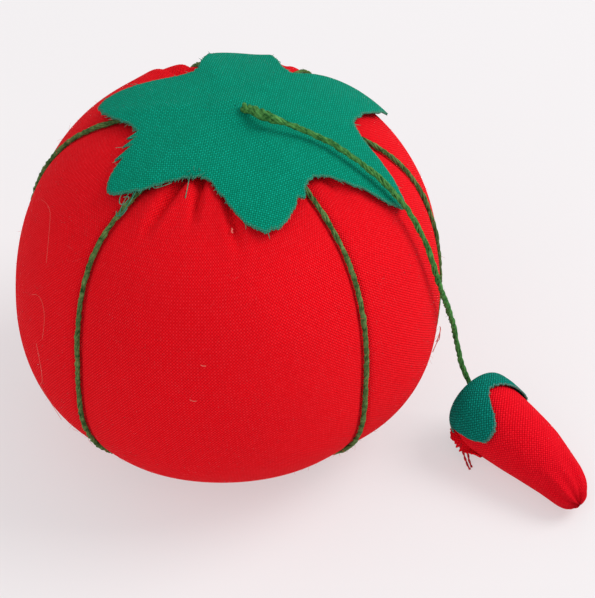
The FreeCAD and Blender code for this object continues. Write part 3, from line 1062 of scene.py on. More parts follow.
@dataclass(frozen=True)
class CordPath:
    """Way of one cord round the ball, as azimuths in degrees at five levels.

    Attributes:
        node: the node that it stands for.
        crown: azimuth under the leaf cap.
        shoulder: azimuth at the upper shoulder.
        upper: azimuth well above the waist.
        waist: azimuth at the waist.
        base: azimuth at the base.
    """

    node: str
    crown: float
    shoulder: float
    upper: float
    waist: float
    base: float

    def azimuth(self, level: np.ndarray) -> np.ndarray:
        """Azimuth in radians at a level, from 1 at the crown through 0 at the waist to -1 at the base."""
        stops = (self.base, self.waist, self.upper, self.shoulder, self.crown)
        fine = np.linspace(-1.0, 1.0, PATH_STEPS)
        rough = np.interp(fine, PATH_LEVELS, stops)
        window = np.hanning(PATH_BLUR)
        padded = np.pad(rough, PATH_BLUR // 2, mode="edge")
        smooth = np.convolve(padded, window / window.sum(), mode="valid")
        return np.radians(np.interp(level, fine, smooth))


CORD_PATHS = (
    CordPath("segment_cord_1", 0.0, 2.0, 3.4, -2.5, -1.0),
    CordPath("segment_cord_2", 57.0, 58.0, 60.0, 58.0, 56.0),
    CordPath("segment_cord_3", 107.0, 105.5, 106.0, 109.0, 112.0),
    CordPath("segment_cord_4", 180.0, 172.0, 168.0, 166.0, 169.0),
    CordPath("segment_cord_5", 228.0, 225.0, 222.5, 227.5, 229.0),
    CordPath("segment_cord_6", 305.0, 309.0, 310.5, 309.5, 315.5),
)


@dataclass(frozen=True)
class Pleat:
    """Fold of cloth that runs down from the gathered crown.

    Attributes:
        top: azimuth at the crown, in degrees.
        foot: azimuth where it fades, in degrees.
        reach: radius at which it has faded.
        depth: depth of its crease.
        width: width of its crease.
        start: radius from which it runs.
    """

    top: float
    foot: float
    reach: float
    depth: float
    width: float
    start: float = 15.0 * MM

    def relief(self, azimuth: np.ndarray, radius: np.ndarray, above: np.ndarray) -> np.ndarray:
        """Height of its crease and of the ridges beside it, which stay clear of the leaf cap.

        Args:
            azimuth: azimuths in radians.
            radius: radii in the ball's frame.
            above: weight from 0 under the waist to 1 over it.

        Returns:
            Heights, in metres.
        """
        span = np.clip((radius - self.start) / (self.reach - self.start), 0.0, 1.0)
        line = np.radians(self.top + (self.foot - self.top) * span)
        aside = wrapped(azimuth - line) * radius
        fade = smoothstep(self.reach + 2.5 * MM, self.reach - 3.5 * MM, radius) * above
        crease = -np.exp(-(aside / self.width) ** 2)
        ridge = 0.45 * np.exp(-((aside - 2.0 * self.width) / (1.4 * self.width)) ** 2)
        ridge += 0.30 * np.exp(-((aside + 2.2 * self.width) / (1.6 * self.width)) ** 2)
        ridge *= smoothstep(14.5 * MM, 18.5 * MM, radius)
        return self.depth * (crease + ridge) * fade


PLEATS = (
    Pleat(241.5, 238.0, 24.0 * MM, 1.35 * MM, 0.80 * MM),
    Pleat(251.5, 254.0, 21.5 * MM, 1.40 * MM, 0.70 * MM),
    Pleat(266.0, 272.5, 24.0 * MM, 1.20 * MM, 0.80 * MM),
    Pleat(122.0, 124.0, 22.0 * MM, 0.90 * MM, 0.90 * MM),
    Pleat(112.0, 112.0, 21.0 * MM, 0.90 * MM, 0.80 * MM),
    Pleat(98.0, 96.0, 20.0 * MM, 0.70 * MM, 0.80 * MM),
    Pleat(68.0, 69.0, 22.0 * MM, 0.80 * MM, 0.90 * MM),
    Pleat(49.0, 47.0, 20.0 * MM, 0.60 * MM, 0.80 * MM),
    Pleat(320.0, 323.0, 22.0 * MM, 0.45 * MM, 0.90 * MM),
)


@dataclass(frozen=True)
class Dent:
    """Broad flat place of the stuffing.

    Attributes:
        azimuth: where it is, in degrees.
        level: its level, from -1 at the base to 1 at the crown.
        depth: how deep it is.
        size: its radius.
    """

    azimuth: float
    level: float
    depth: float
    size: float


DENTS = (
    Dent(-48.0, -0.42, 0.95 * MM, 17.0 * MM),
    Dent(-88.0, -0.48, 0.55 * MM, 15.0 * MM),
    Dent(20.0, -0.35, 0.45 * MM, 15.0 * MM),
    Dent(63.0, 0.65, -0.90 * MM, 4.0 * MM),
    Dent(72.0, 0.62, -0.40 * MM, 3.0 * MM),
    Dent(118.0, 0.66, -0.40 * MM, 3.2 * MM),
    Dent(127.0, 0.65, -0.65 * MM, 3.2 * MM),
    Dent(137.0, 0.64, -0.50 * MM, 3.2 * MM),
)


@dataclass(frozen=True)
class BallForm:
    """Outline of the stuffed ball in its own frame, and how that frame stands.

    Attributes:
        waist_radius: radius at the waist.
        waist_height: height of the waist.
        crown_rise: height of the crown above the waist.
        base_drop: depth of the base below the waist.
        crown_power: fullness of the outline above the waist.
        base_power: fullness of the outline below the waist.
        lean: lean towards +X, in degrees.
        settle: how far the base has settled.
    """

    waist_radius: float = 34.5 * MM
    waist_height: float = 25.8 * MM
    crown_rise: float = 36.3 * MM
    base_drop: float = 25.5 * MM
    crown_power: float = 2.44
    base_power: float = 2.33
    lean: float = 2.2
    settle: float = 0.8 * MM

    def half(self, upper: np.ndarray) -> tuple[np.ndarray, np.ndarray]:
        """Fullness of the outline, and its height from the waist, where upper is true or false."""
        power = np.where(upper, self.crown_power, self.base_power)
        return power, np.where(upper, self.crown_rise, self.base_drop)

    def profile(self, level: np.ndarray) -> tuple[np.ndarray, np.ndarray]:
        """Radius and height at a level from -1, base, to 1, crown."""
        angle = np.clip(level, -1.0, 1.0) * QUARTER_TURN
        power, rise = self.half(level >= 0.0)
        radius = self.waist_radius * np.maximum(np.cos(angle), 0.0) ** (2.0 / power)
        height = self.waist_height + rise * np.sign(angle) * np.abs(np.sin(angle)) ** (2.0 / power)
        return radius, height

    def outward(self, level: np.ndarray) -> tuple[np.ndarray, np.ndarray]:
        """Radial and upward parts of the outline's normal at a level."""
        radius, height = self.profile(level)
        power, rise = self.half(level >= 0.0)
        across = (radius / self.waist_radius) ** (power - 1.0) / self.waist_radius
        up = np.sign(level) * (np.abs(height - self.waist_height) / rise) ** (power - 1.0) / rise
        size = np.hypot(across, up)
        return across / size, up / size

    def point(self, azimuth: np.ndarray, level: np.ndarray, offset: np.ndarray | float = 0.0) -> Points:
        """Points on the ball, in the row's frame.

        Args:
            azimuth: azimuths in radians.
            level: levels from -1 to 1.
            offset: distance out of the outline.

        Returns:
            An n by 3 array.
        """
        radius, height = self.profile(level)
        across, up = self.outward(level)
        for dent in DENTS:
            aside = wrapped(azimuth - math.radians(dent.azimuth)) * radius
            away = (level - dent.level) * LEVEL_SPAN * MM
            offset = offset - dent.depth * np.exp(-(aside ** 2 + away ** 2) / dent.size ** 2)
        radius = radius + across * offset
        height = height + up * offset
        local = np.stack([radius * np.cos(azimuth), radius * np.sin(azimuth), height], axis=-1)
        return self.stand(local)

    def turn(self) -> np.ndarray:
        """Rotation from the ball's frame to the row's."""
        return np.array(Matrix.Rotation(math.radians(self.lean), 3, "Y"))

    def stand(self, local: Points) -> Points:
        """Move points from the ball's frame to the row's."""
        return local @ self.turn().T - np.array([0.0, 0.0, self.settle])

    def locate(self, points: Points) -> tuple[np.ndarray, np.ndarray, np.ndarray]:
        """Azimuth, level and radius in the ball's frame of points near its surface.

        Args:
            points: an n by 3 array in the row's frame.

        Returns:
            Azimuths in radians, levels from -1 to 1, and radii.
        """
        local = (points + np.array([0.0, 0.0, self.settle])) @ self.turn()
        radius = np.hypot(local[:, 0], local[:, 1])
        above = local[:, 2] - self.waist_height
        power, rise = self.half(above >= 0.0)
        sine = (np.abs(above) / rise) ** (power / 2.0)
        cosine = (radius / self.waist_radius) ** (power / 2.0)
        level = np.sign(above) * np.arctan2(sine, cosine) / QUARTER_TURN
        return np.arctan2(local[:, 1], local[:, 0]), level, radius

    def arc(self, level: np.ndarray) -> np.ndarray:
        """Distance over the outline from the first of several levels to each."""
        radius, height = self.profile(level)
        return np.concatenate([[0.0], np.cumsum(np.hypot(np.diff(radius), np.diff(height)))])

    def level_at(self, radius: np.ndarray) -> np.ndarray:
        """Level above the waist at which the outline has that radius."""
        share = np.clip(radius / self.waist_radius, 0.0, 1.0) ** (self.crown_power / 2.0)
        return np.arccos(share) / QUARTER_TURN


@dataclass
class StuffedBall:
    """Cloth cover of the ball, its stuffing, its cords, knots and gathering threads.

    Attributes:
        form: the outline.
        cuts: subdivisions of each side of the starting cube.
        plump: bulge of the cloth between the cords.
        groove: depth of the crease under a cord.
        groove_width: half of that crease's width.
        cord_lift: height of a cord's middle over the outline.
        base_cord_level: height of a cord's middle under the ball.
        seed: seed of the small unevenness.
    """

    form: BallForm = field(default_factory=BallForm)
    cuts: int = 27
    plump: float = 0.55 * MM
    groove: float = 0.65 * MM
    groove_width: float = 0.85 * MM
    cord_lift: float = 0.12 * MM
    base_cord_level: float = 0.62 * MM
    seed: int = 11

    def cord_distance(self, azimuth: np.ndarray, level: np.ndarray, radius: np.ndarray) -> np.ndarray:
        """Distance over the surface to the nearest cord.

        Args:
            azimuth: azimuths in radians.
            level: levels from -1 to 1.
            radius: radii in the ball's frame.

        Returns:
            Distances, in metres.
        """
        nearest = np.full(len(azimuth), 1.0)
        for path in CORD_PATHS:
            nearest = np.minimum(nearest, np.abs(wrapped(azimuth - path.azimuth(level))) * radius)
        return nearest

    def start(self, name: str, cuts: int, inset: float = 0.0) -> bpy.types.Object:
        """Cube blown up to a round form, then drawn to the ball's outline.

        Args:
            name: the new object's name.
            cuts: subdivisions of each side.
            inset: distance inside the outline.

        Returns:
            The new mesh object.
        """
        deselect()
        bpy.ops.mesh.primitive_cube_add(size=2.0)
        piece = bpy.context.object
        piece.name = name
        piece.data.name = name
        bpy.ops.object.mode_set(mode="EDIT")
        bpy.ops.mesh.select_all(action="SELECT")
        bpy.ops.mesh.subdivide(number_cuts=cuts)
        bpy.ops.transform.tosphere(value=1.0)
        bpy.ops.object.mode_set(mode="OBJECT")
        ball = unit(read_points(piece))
        azimuth = np.arctan2(ball[:, 1], ball[:, 0])
        level = np.arcsin(np.clip(ball[:, 2], -1.0, 1.0)) / QUARTER_TURN
        points = self.form.point(azimuth, level, -inset)
        points[:, 2] = np.maximum(points[:, 2], inset)
        write_points(piece, points)
        bpy.ops.object.shade_smooth()
        return piece

    def chart(self, piece: bpy.types.Object) -> None:
        """Give the cover a UV map in metres: round the waist, and up from the base."""
        azimuth, level, _ = self.form.locate(read_points(piece))
        fine = np.linspace(-1.0, 1.0, 801)
        upward = np.interp(level, fine, self.form.arc(fine))
        seam = math.radians(85.0)
        layer = piece.data.uv_layers.active or piece.data.uv_layers.new(name=UV_MAP)
        layer.name = UV_MAP
        for face in piece.data.polygons:
            corners = np.array([piece.data.loops[loop].vertex_index for loop in face.loop_indices])
            turn = (azimuth[corners] - seam) % FULL_TURN
            turn = np.where(turn < turn.max() - math.pi, turn + FULL_TURN, turn)
            for loop, angle, vertex in zip(face.loop_indices, turn, corners):
                layer.data[loop].uv = (angle * self.form.waist_radius, upward[vertex])

    def sew(self, piece: bpy.types.Object) -> None:
        """Press the cords' creases, the pleats and the gathers into the swollen cover."""
        points = read_points(piece)
        normals = read_normals(piece)
        azimuth, level, radius = self.form.locate(points)
        rng = np.random.default_rng(self.seed)
        distance = self.cord_distance(azimuth, level, np.maximum(radius, 1.0 * MM))
        move = -self.groove * np.exp(-(distance / self.groove_width) ** 2)
        above = smoothstep(-0.05, 0.15, level)
        for pleat in PLEATS:
            move += pleat.relief(azimuth, radius, above)
        gathers = ripple(rng, 5, 26, 44)
        move += 0.35 * MM * gathers(azimuth) * smoothstep(20.0 * MM, 12.0 * MM, radius) * above
        under = smoothstep(-0.45, -0.85, level)
        move += 0.25 * MM * ripple(rng, 4, 22, 38)(azimuth) * under
        for _ in range(26):
            spot = rng.uniform((-math.pi, -0.7), (math.pi, 0.75))
            size = rng.uniform(4.0, 9.0) * MM
            aside = wrapped(azimuth - spot[0]) * radius
            height = (level - spot[1]) * LEVEL_SPAN * MM
            move += rng.uniform(-0.22, 0.22) * MM * np.exp(-(aside ** 2 + height ** 2) / size ** 2)
        points += normals * move[:, None]
        tunnel = 1.35 * MM * np.exp(-(distance / (1.0 * MM)) ** 4)
        tunnel = tunnel * smoothstep(19.0 * MM, 14.0 * MM, radius)
        floor = np.where(level < -0.3, tunnel, 0.0)
        points[:, 2] = np.maximum(points[:, 2], floor)
        write_points(piece, points)

    def cover(self, finish: ClothFinish) -> bpy.types.Object:
        """Build and dress the cloth cover.

        Args:
            finish: the red cloth.

        Returns:
            The cover.
        """
        piece = self.start("ball_cover", self.cuts)
        self.chart(piece)
        points = read_points(piece)
        azimuth, level, radius = self.form.locate(points)
        distance = self.cord_distance(azimuth, level, np.maximum(radius, 1.0 * MM))
        held = np.exp(-(distance / (1.6 * MM)) ** 2)
        held = np.maximum(held, smoothstep(8.0 * MM, 5.0 * MM, radius))
        held = np.maximum(held, smoothstep(0.8 * MM, 0.2 * MM, points[:, 2]))
        bulge = self.plump * (1.0 - np.exp(-(distance / (6.0 * MM)) ** 2))
        bulge = bulge * smoothstep(0.2 * MM, 3.0 * MM, points[:, 2])
        across, up = self.form.outward(level)
        local = np.stack([across * np.cos(azimuth), across * np.sin(azimuth), up], axis=1)
        write_points(piece, points + (local @ self.form.turn().T) * bulge[:, None])
        Inflation(enlarge=20.0, pressure=4.0, reach=0.5 * MM).swell(piece, held)
        subdivide_smoothly(piece, 2)
        self.sew(piece)
        dress(piece, finish.build(), Body.CUSHION, Slot.BALL_CLOTH, "tomato_cover")
        return piece

    def stuffing(self, finish: GrainFinish) -> bpy.types.Object:
        """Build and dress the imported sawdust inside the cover."""
        piece = self.start("ball_stuffing", 20, 1.9 * MM)
        points = read_points(piece)
        azimuth, level, _ = self.form.locate(points)
        rng = np.random.default_rng(self.seed + 1)
        lumps = 0.15 * MM * ripple(rng, 4, 5, 14)(azimuth) * np.cos(level * 9.0)
        write_points(piece, points + read_normals(piece) * lumps[:, None])
        dress(piece, finish.build(), Body.CUSHION, Slot.STUFFING, "tomato_stuffing")
        return piece

    def cord_line(self, path: CordPath) -> Points:
        """Middle line of one cord, from the crown knot round to the base knot."""
        level = np.linspace(self.form.level_at(np.array([2.0 * MM]))[0], -0.975, 260)
        line = self.form.point(path.azimuth(level), level, self.cord_lift)
        line[:, 2] = np.maximum(line[:, 2], self.base_cord_level)
        return line

    def cords(self, finish: FibreFinish) -> list[bpy.types.Object]:
        """Build and dress the six cords that bind the ball."""
        material = finish.build()
        made = []
        for number, path in enumerate(CORD_PATHS):
            line = self.cord_line(path)
            cord = Lay(seed=number + 30).build(f"binding_cord_{number + 1}", line)
            made.append(dress(cord, material, Body.CUSHION, Slot.SEGMENT_CORD, path.node))
            fuzz = Fuzz(spacing=0.7 * MM, cord_radius=0.36 * MM, seed=number + 50)
            hair = fuzz.build(f"cord_fuzz_{number + 1}", line[: len(line) * 3 // 4])
            made.append(dress(hair, material, Body.CUSHION, Slot.SEGMENT_CORD))
        return made

    def inner_cordage(self, cord: FibreFinish, thread: FibreFinish) -> list[bpy.types.Object]:
        """Build and dress the knots, the strands through the middle and the gathering threads.

        Args:
            cord: finish of the knots and strands.
            thread: finish of the gathering threads.

        Returns:
            The pieces.
        """
        form = self.form
        axis = Vector(form.turn() @ np.array([0.0, 0.0, 1.0]))
        made = []
        for name, node in (("crown_knot", "top_knot"), ("foot_knot", "base_knot")):
            knot = knot_of_cord(name, middle_of(node), axis, 1.7 * MM, 0.62 * MM, 0.3 * MM)
            made.append(dress(knot, cord.build(), Body.CUSHION, Slot.SEGMENT_CORD, node))
        top = np.array(middle_of("top_knot") - axis * 0.6 * MM)
        foot = np.array(middle_of("base_knot") + axis * 0.6 * MM)
        lay = Lay(count=6, strand_radius=0.36 * MM, lay_radius=0.72 * MM, pitch=30.0 * MM, step=1.0 * MM)
        core = lay.build("core_cords", np.linspace(foot, top, 60))
        made.append(dress(core, cord.build(), Body.CUSHION, Slot.SEGMENT_CORD, "core_strands"))
        for name, node in (("crown_gather", "top_gather_thread"), ("foot_gather", "base_gather_thread")):
            ring = running_stitch(name, middle_of(node), axis, 2.15 * MM, 9)
            made.append(dress(ring, thread.build(), Body.CUSHION, Slot.GATHER_THREAD, node))
        return made


def running_stitch(name: str, centre: Vector, axis: Vector, radius: float, stitches: int) -> bpy.types.Object:
    """Ring of gathering thread that runs in and out of the cloth.

    Args:
        name: the new object's name.
        centre: middle of the ring.
        axis: its axis.
        radius: its radius.
        stitches: stitches round it.

    Returns:
        The thread as one mesh object.
    """
    thread, dip = 0.12 * MM, 0.10 * MM
    turn = np.linspace(0.0, FULL_TURN, 12 * stitches + 1)
    reach = radius + thread * np.cos(stitches * turn)
    local = np.stack([reach * np.cos(turn), reach * np.sin(turn), dip * np.sin(stitches * turn)], axis=1)
    return ring_of_cord(name, local, centre, axis, thread, 6)


# ---------------------------------------------------------------- the leaf cap


@dataclass(frozen=True)
class Leaf:
    """One lobe of a cap.

    Attributes:
        azimuth: angle of its tip round the cap, in degrees.
        reach: how far its tip reaches: a radius on the ball, a share of the length on the pepper.
        rise: fullness of the edge before the tip.
        fall: fullness of the edge after the tip.
        notch_azimuth: angle of the notch after it, in degrees.
        notch_reach: how far that notch reaches.
        lift: how far the tip stands off.
    """

    azimuth: float
    reach: float
    rise: float
    fall: float
    notch_azimuth: float
    notch_reach: float
    lift: float = 0.0


def lobed(leaves: Sequence[Leaf], degrees: np.ndarray) -> tuple[np.ndarray, np.ndarray]:
    """Edge of a cap as drawn, with pointed tips.

    Args:
        leaves: its lobes in order.
        degrees: angles round the cap, from 0 to 360.

    Returns:
        How far the edge reaches, and its lift, at each angle.
    """
    reach = np.zeros(len(degrees))
    lift = np.zeros(len(degrees))
    for number, leaf in enumerate(leaves):
        before = leaves[number - 1]
        for notch, power, low in ((before.notch_azimuth, leaf.rise, before.notch_reach),
                                  (leaf.notch_azimuth, leaf.fall, leaf.notch_reach)):
            span = wrapped_degrees(notch - leaf.azimuth)
            share = wrapped_degrees(degrees - leaf.azimuth) / span
            inside = (share >= 0.0) & (share <= 1.0)
            wave = 0.5 + 0.5 * np.cos(math.pi * np.clip(share, 0.0, 1.0) ** power)
            reach = np.where(inside, low + (leaf.reach - low) * wave, reach)
            lift = np.where(inside, leaf.lift * wave, lift)
    return reach, lift


LEAVES = (
    Leaf(36.0, 28.9 * MM, 0.85, 1.10, 55.0, 15.0 * MM, 0.45 * MM),
    Leaf(85.0, 23.8 * MM, 0.80, 1.15, 120.0, 13.2 * MM, 0.25 * MM),
    Leaf(158.0, 21.9 * MM, 0.62, 1.15, 191.0, 15.4 * MM, 0.20 * MM),
    Leaf(214.5, 23.4 * MM, 0.58, 0.77, 254.0, 15.3 * MM, 0.25 * MM),
    Leaf(284.5, 22.8 * MM, 1.05, 0.92, 313.5, 17.4 * MM, 0.45 * MM),
    Leaf(341.0, 28.2 * MM, 0.75, 0.62, 366.0, 18.4 * MM, 0.25 * MM),
)


@dataclass(frozen=True)
class Snip:
    """Small nick or tag where the scissors wandered.

    Attributes:
        azimuth: where it is, in degrees.
        spread: its half width, in degrees.
        size: how far the edge moves out, or in if negative.
    """

    azimuth: float
    spread: float
    size: float


SNIPS = (
    Snip(303.5, 1.6, 0.9 * MM), Snip(300.0, 1.3, -0.4 * MM), Snip(193.8, 0.8, -0.5 * MM),
    Snip(196.3, 0.6, 1.0 * MM), Snip(198.2, 0.7, -0.5 * MM), Snip(200.3, 0.6, 1.2 * MM),
    Snip(202.6, 0.8, -0.5 * MM), Snip(205.0, 0.7, 1.3 * MM), Snip(207.4, 0.9, -0.4 * MM),
    Snip(331.0, 1.4, -0.4 * MM), Snip(262.0, 1.6, 0.4 * MM), Snip(17.0, 1.5, -0.4 * MM),
    Snip(103.0, 1.3, 0.3 * MM), Snip(146.0, 1.2, -0.3 * MM), Snip(227.5, 1.0, 0.4 * MM),
    Snip(13.5, 0.9, 0.4 * MM), Snip(27.0, 0.9, -0.5 * MM), Snip(164.0, 0.9, 0.4 * MM),
)


# Loose threads at the cap's edge: azimuth in degrees, share of the way to the edge, height in millimetres.
FRAY_CURLS = (
    ((221.0, 0.97, 0.3), (223.0, 1.06, 0.6), (226.0, 1.12, 0.5), (226.5, 1.04, 0.5), (223.5, 1.03, 0.3)),
    ((224.0, 0.97, 0.3), (225.0, 1.10, 0.4), (227.5, 1.20, 0.2), (228.0, 1.13, 0.4)),
    ((226.0, 0.97, 0.3), (228.0, 1.12, 0.5), (226.0, 1.20, 0.1), (224.5, 1.13, 0.2)),
    ((246.0, 0.96, 0.4), (246.5, 1.03, 0.7), (247.5, 1.11, 0.3), (248.0, 1.20, -0.2)),
    ((244.5, 0.93, 0.4), (245.0, 0.99, 1.6), (246.0, 1.01, 2.2)),
    ((247.5, 0.93, 0.4), (248.0, 0.98, 1.9), (248.5, 0.97, 2.6)),
    ((250.5, 0.94, 0.4), (250.0, 0.99, 1.5), (251.5, 0.99, 2.3)),
    ((253.0, 0.94, 0.4), (253.5, 1.00, 1.2), (252.5, 1.02, 1.9)),
    ((231.0, 0.97, 0.4), (232.5, 1.04, 0.7), (236.0, 1.05, 0.5), (239.0, 1.03, 0.4)),
)


TIP_ROUNDING = ((-3.4, 0.14), (-1.7, 0.22), (0.0, 0.28), (1.7, 0.22), (3.4, 0.14))


@dataclass
class LeafCap:
    """Cut cloth cap with six pointed lobes over the crown of the ball.

    Attributes:
        form: outline of the ball.
        base_offset: height of the cloth over the ball's outline.
        thickness: thickness of the cloth.
        hole: radius of the hole for the leash.
        columns: faces round it.
        rows: faces from the hole to the edge.
        seed: seed of its ragged edge.
    """

    form: BallForm = field(default_factory=BallForm)
    base_offset: float = 1.12 * MM
    thickness: float = 0.38 * MM
    hole: float = 0.05 * MM
    columns: int = 900
    rows: int = 44
    seed: int = 23

    def reach(self, azimuth: np.ndarray) -> tuple[np.ndarray, np.ndarray]:
        """Radius of the rounded, nicked edge and lift of the lobe at each azimuth.

        Args:
            azimuth: azimuths in radians.

        Returns:
            Radii, and lifts of the nearest lobe's tip.
        """
        degrees = np.degrees(azimuth) % 360.0
        radius, lift = 0.0, 0.0
        for turn, share in TIP_ROUNDING:
            part, rise = lobed(LEAVES, (degrees + turn) % 360.0)
            radius, lift = radius + part * share, lift + rise * share
        for snip in SNIPS:
            aside = wrapped_degrees(degrees - snip.azimuth)
            radius = radius + snip.size * np.exp(-(aside / snip.spread) ** 2)
        rng = np.random.default_rng(self.seed)
        radius = radius + 0.10 * MM * ripple(rng, 6, 40, 120)(azimuth)
        return radius + 0.05 * MM * ripple(rng, 6, 150, 260)(azimuth), lift

    def surface(self, azimuth: np.ndarray, share: np.ndarray, extra: float = 0.0) -> Points:
        """Points on the underside of the cap.

        Args:
            azimuth: azimuths in radians.
            share: from 0 at the hole to 1 at the edge.
            extra: distance further out.

        Returns:
            An n by 3 array.
        """
        edge, lift = self.reach(azimuth)
        radius = self.hole + (edge - self.hole) * share
        level = self.form.level_at(radius)
        offset = self.base_offset + extra + lift * smoothstep(0.45, 1.0, share)
        for path in CORD_PATHS:
            aside = np.abs(wrapped(azimuth - path.azimuth(level))) * radius
            swell = 0.22 * MM * np.exp(-(aside / (1.7 * MM)) ** 2)
            offset = offset + swell * smoothstep(3.0 * MM, 9.0 * MM, radius)
        rng = np.random.default_rng(self.seed + 1)
        soft = ripple(rng, 4, 3, 9)(azimuth) * smoothstep(6.0 * MM, 16.0 * MM, radius)
        offset = offset + 0.10 * MM * soft
        knot = smoothstep(6.0 * MM, 1.5 * MM, radius)
        return self.form.point(azimuth, level, offset + 0.55 * MM * knot)

    def build(self, finish: ClothFinish, fray: FibreFinish) -> bpy.types.Object:
        """Build and dress the cap with its frayed edge.

        Args:
            finish: the green cloth.
            fray: finish of the loose thread ends.

        Returns:
            The cap.
        """

        def place(u: np.ndarray, v: np.ndarray) -> np.ndarray:
            """Round the cap, and out from its hole."""
            return self.surface(u * FULL_TURN, v)

        piece = shaped_grid("leaf_cap_cloth", self.columns, self.rows, place, closed=True)
        mark_rim(piece)
        self.chart(piece)
        face_away(piece, np.array([0.0, 0.0, 20.0 * MM]))
        apply_modifier(piece, "SOLIDIFY", thickness=self.thickness, offset=1.0, use_even_offset=True)
        dress(piece, finish.build(), Body.CUSHION, Slot.LEAF_CLOTH, "leaf_cap")
        ends = self.fringe(fray)
        return piece

    def chart(self, piece: bpy.types.Object) -> None:
        """Give the cap a UV map in metres, as its cloth lay flat on the cutting table."""
        points = read_points(piece)
        azimuth, level, _ = self.form.locate(points)
        fine = np.linspace(0.0, 1.0, 401)
        arc = self.form.arc(fine)
        out = arc[-1] - np.interp(level, fine, arc)
        lay_flat(piece, np.stack([out * np.cos(azimuth), out * np.sin(azimuth)], axis=1))

    def fringe(self, finish: FibreFinish) -> bpy.types.Object:
        """Build and dress the thread ends along the cut edge."""
        rng = np.random.default_rng(self.seed + 2)
        steps = np.linspace(0.0, 1.0, 4)[:, None]
        routes = []
        for azimuth in np.sort(rng.uniform(0.0, FULL_TURN, 700)):
            here = np.array([azimuth])
            start = self.surface(here, np.array([0.985]), self.thickness * 0.5)[0]
            ahead = self.surface(here, np.array([1.03]), self.thickness * 0.5)[0]
            aside = self.surface(here + 0.01, np.array([0.985]), self.thickness * 0.5)[0]
            out = unit(ahead - start)
            along_edge = unit(aside - start)
            up = unit(np.cross(out, along_edge))
            up = up if up[2] > 0.0 else -up
            ragged = 1.0 + 1.3 * (abs(math.degrees(azimuth) - 200.0) < 9.0) * rng.uniform(0.0, 1.0)
            length = rng.uniform(0.3, 0.7) * MM * (1.0 + 1.4 * (rng.uniform() > 0.95)) * ragged
            lean = rng.uniform(-0.7, 0.7)
            bend = rng.uniform(-0.3, 0.45)
            straight = steps * length * unit(out + along_edge * lean)
            routes.append(start + straight + steps ** 2 * length * up * bend)
        taper = np.array(FIBRE_TAPER) * 0.075 * MM
        routes += [nurbs_line("curl", [tuple(self.surface(np.radians([a]), np.array([f]), h * MM)[0])
                                       for a, f, h in curl]) for curl in FRAY_CURLS]
        widths = [taper] * (len(routes) - len(FRAY_CURLS)) + [0.07 * MM] * len(FRAY_CURLS)
        ends = strands("leaf_cap_fray", routes, widths, 4)
        return dress(ends, finish.build(), Body.CUSHION, Slot.LEAF_CLOTH)


# ---------------------------------------------------------------- the leash


@dataclass
class Leash:
    """Cord from the crown to the pepper.

    Attributes:
        route: control points of its line, in metres.
        exit: where it leaves the crown; not used.
        length: its real length; not used.
        diameter: its real diameter; not used.
        knot_steps: steps of its line that the end knot hides.
    """

    route: tuple[Stop, ...] = (
        (0.00340, -0.00020, 0.06200),
        (0.00370, -0.00060, 0.06350),
        (0.00500, -0.00250, 0.06430),
        (0.00730, -0.00450, 0.06465),
        (0.00980, -0.00510, 0.06400),
        (0.01330, -0.00560, 0.06270),
        (0.01720, -0.00670, 0.06130),
        (0.02090, -0.00830, 0.05960),
        (0.02440, -0.00960, 0.05720),
        (0.02760, -0.01050, 0.05400),
        (0.03000, -0.01100, 0.05040),
        (0.03200, -0.01150, 0.04650),
        (0.03350, -0.01210, 0.04230),
        (0.03470, -0.01220, 0.03760),
        (0.03610, -0.01060, 0.03200),
        (0.03725, -0.00740, 0.02640),
        (0.03815, -0.00510, 0.02120),
        (0.03895, -0.00480, 0.01680),
        (0.03965, -0.00480, 0.01300),
        (0.04075, -0.00500, 0.01020),
        (0.04140, -0.00530, 0.00900),
    )
    exit: Stop = (0.00241, 0.0, 0.06193)
    length: float = 0.0795
    diameter: float = 0.0011
    knot_steps: int = 5

    def build(self, finish: FibreFinish) -> bpy.types.Object:
        """Build and dress the twisted cord with its doubled start.

        Args:
            finish: the green cord.

        Returns:
            The cord.
        """
        line = nurbs_line("leash_route", self.route)

        def doubled(distance: np.ndarray) -> np.ndarray:
            """Factor that thickens the doubled start and draws its end in."""
            more = 0.75 * smoothstep(0.3 * MM, 2.2 * MM, distance)
            thick = 1.0 + more * smoothstep(10.5 * MM, 6.5 * MM, distance)
            return thick * (0.50 + 0.50 * smoothstep(0.3 * MM, 2.4 * MM, distance))

        lay = Lay(count=6, strand_radius=0.20 * MM, lay_radius=0.27 * MM, pitch=6.5 * MM, step=0.3 * MM,
                  wander=0.07 * MM)
        piece = lay.build("leash_twist", line, swell=doubled)
        dress(piece, finish.build(), Body.LEASH, Slot.LEASH_CORD, "leash_cord")
        middle = evenly(line, 0.5 * MM)
        hair = Fuzz().build("leash_fuzz", middle[:-self.knot_steps])
        dress(hair, finish.build(), Body.LEASH, Slot.LEASH_CORD)
        return piece


# ---------------------------------------------------------------- the pepper


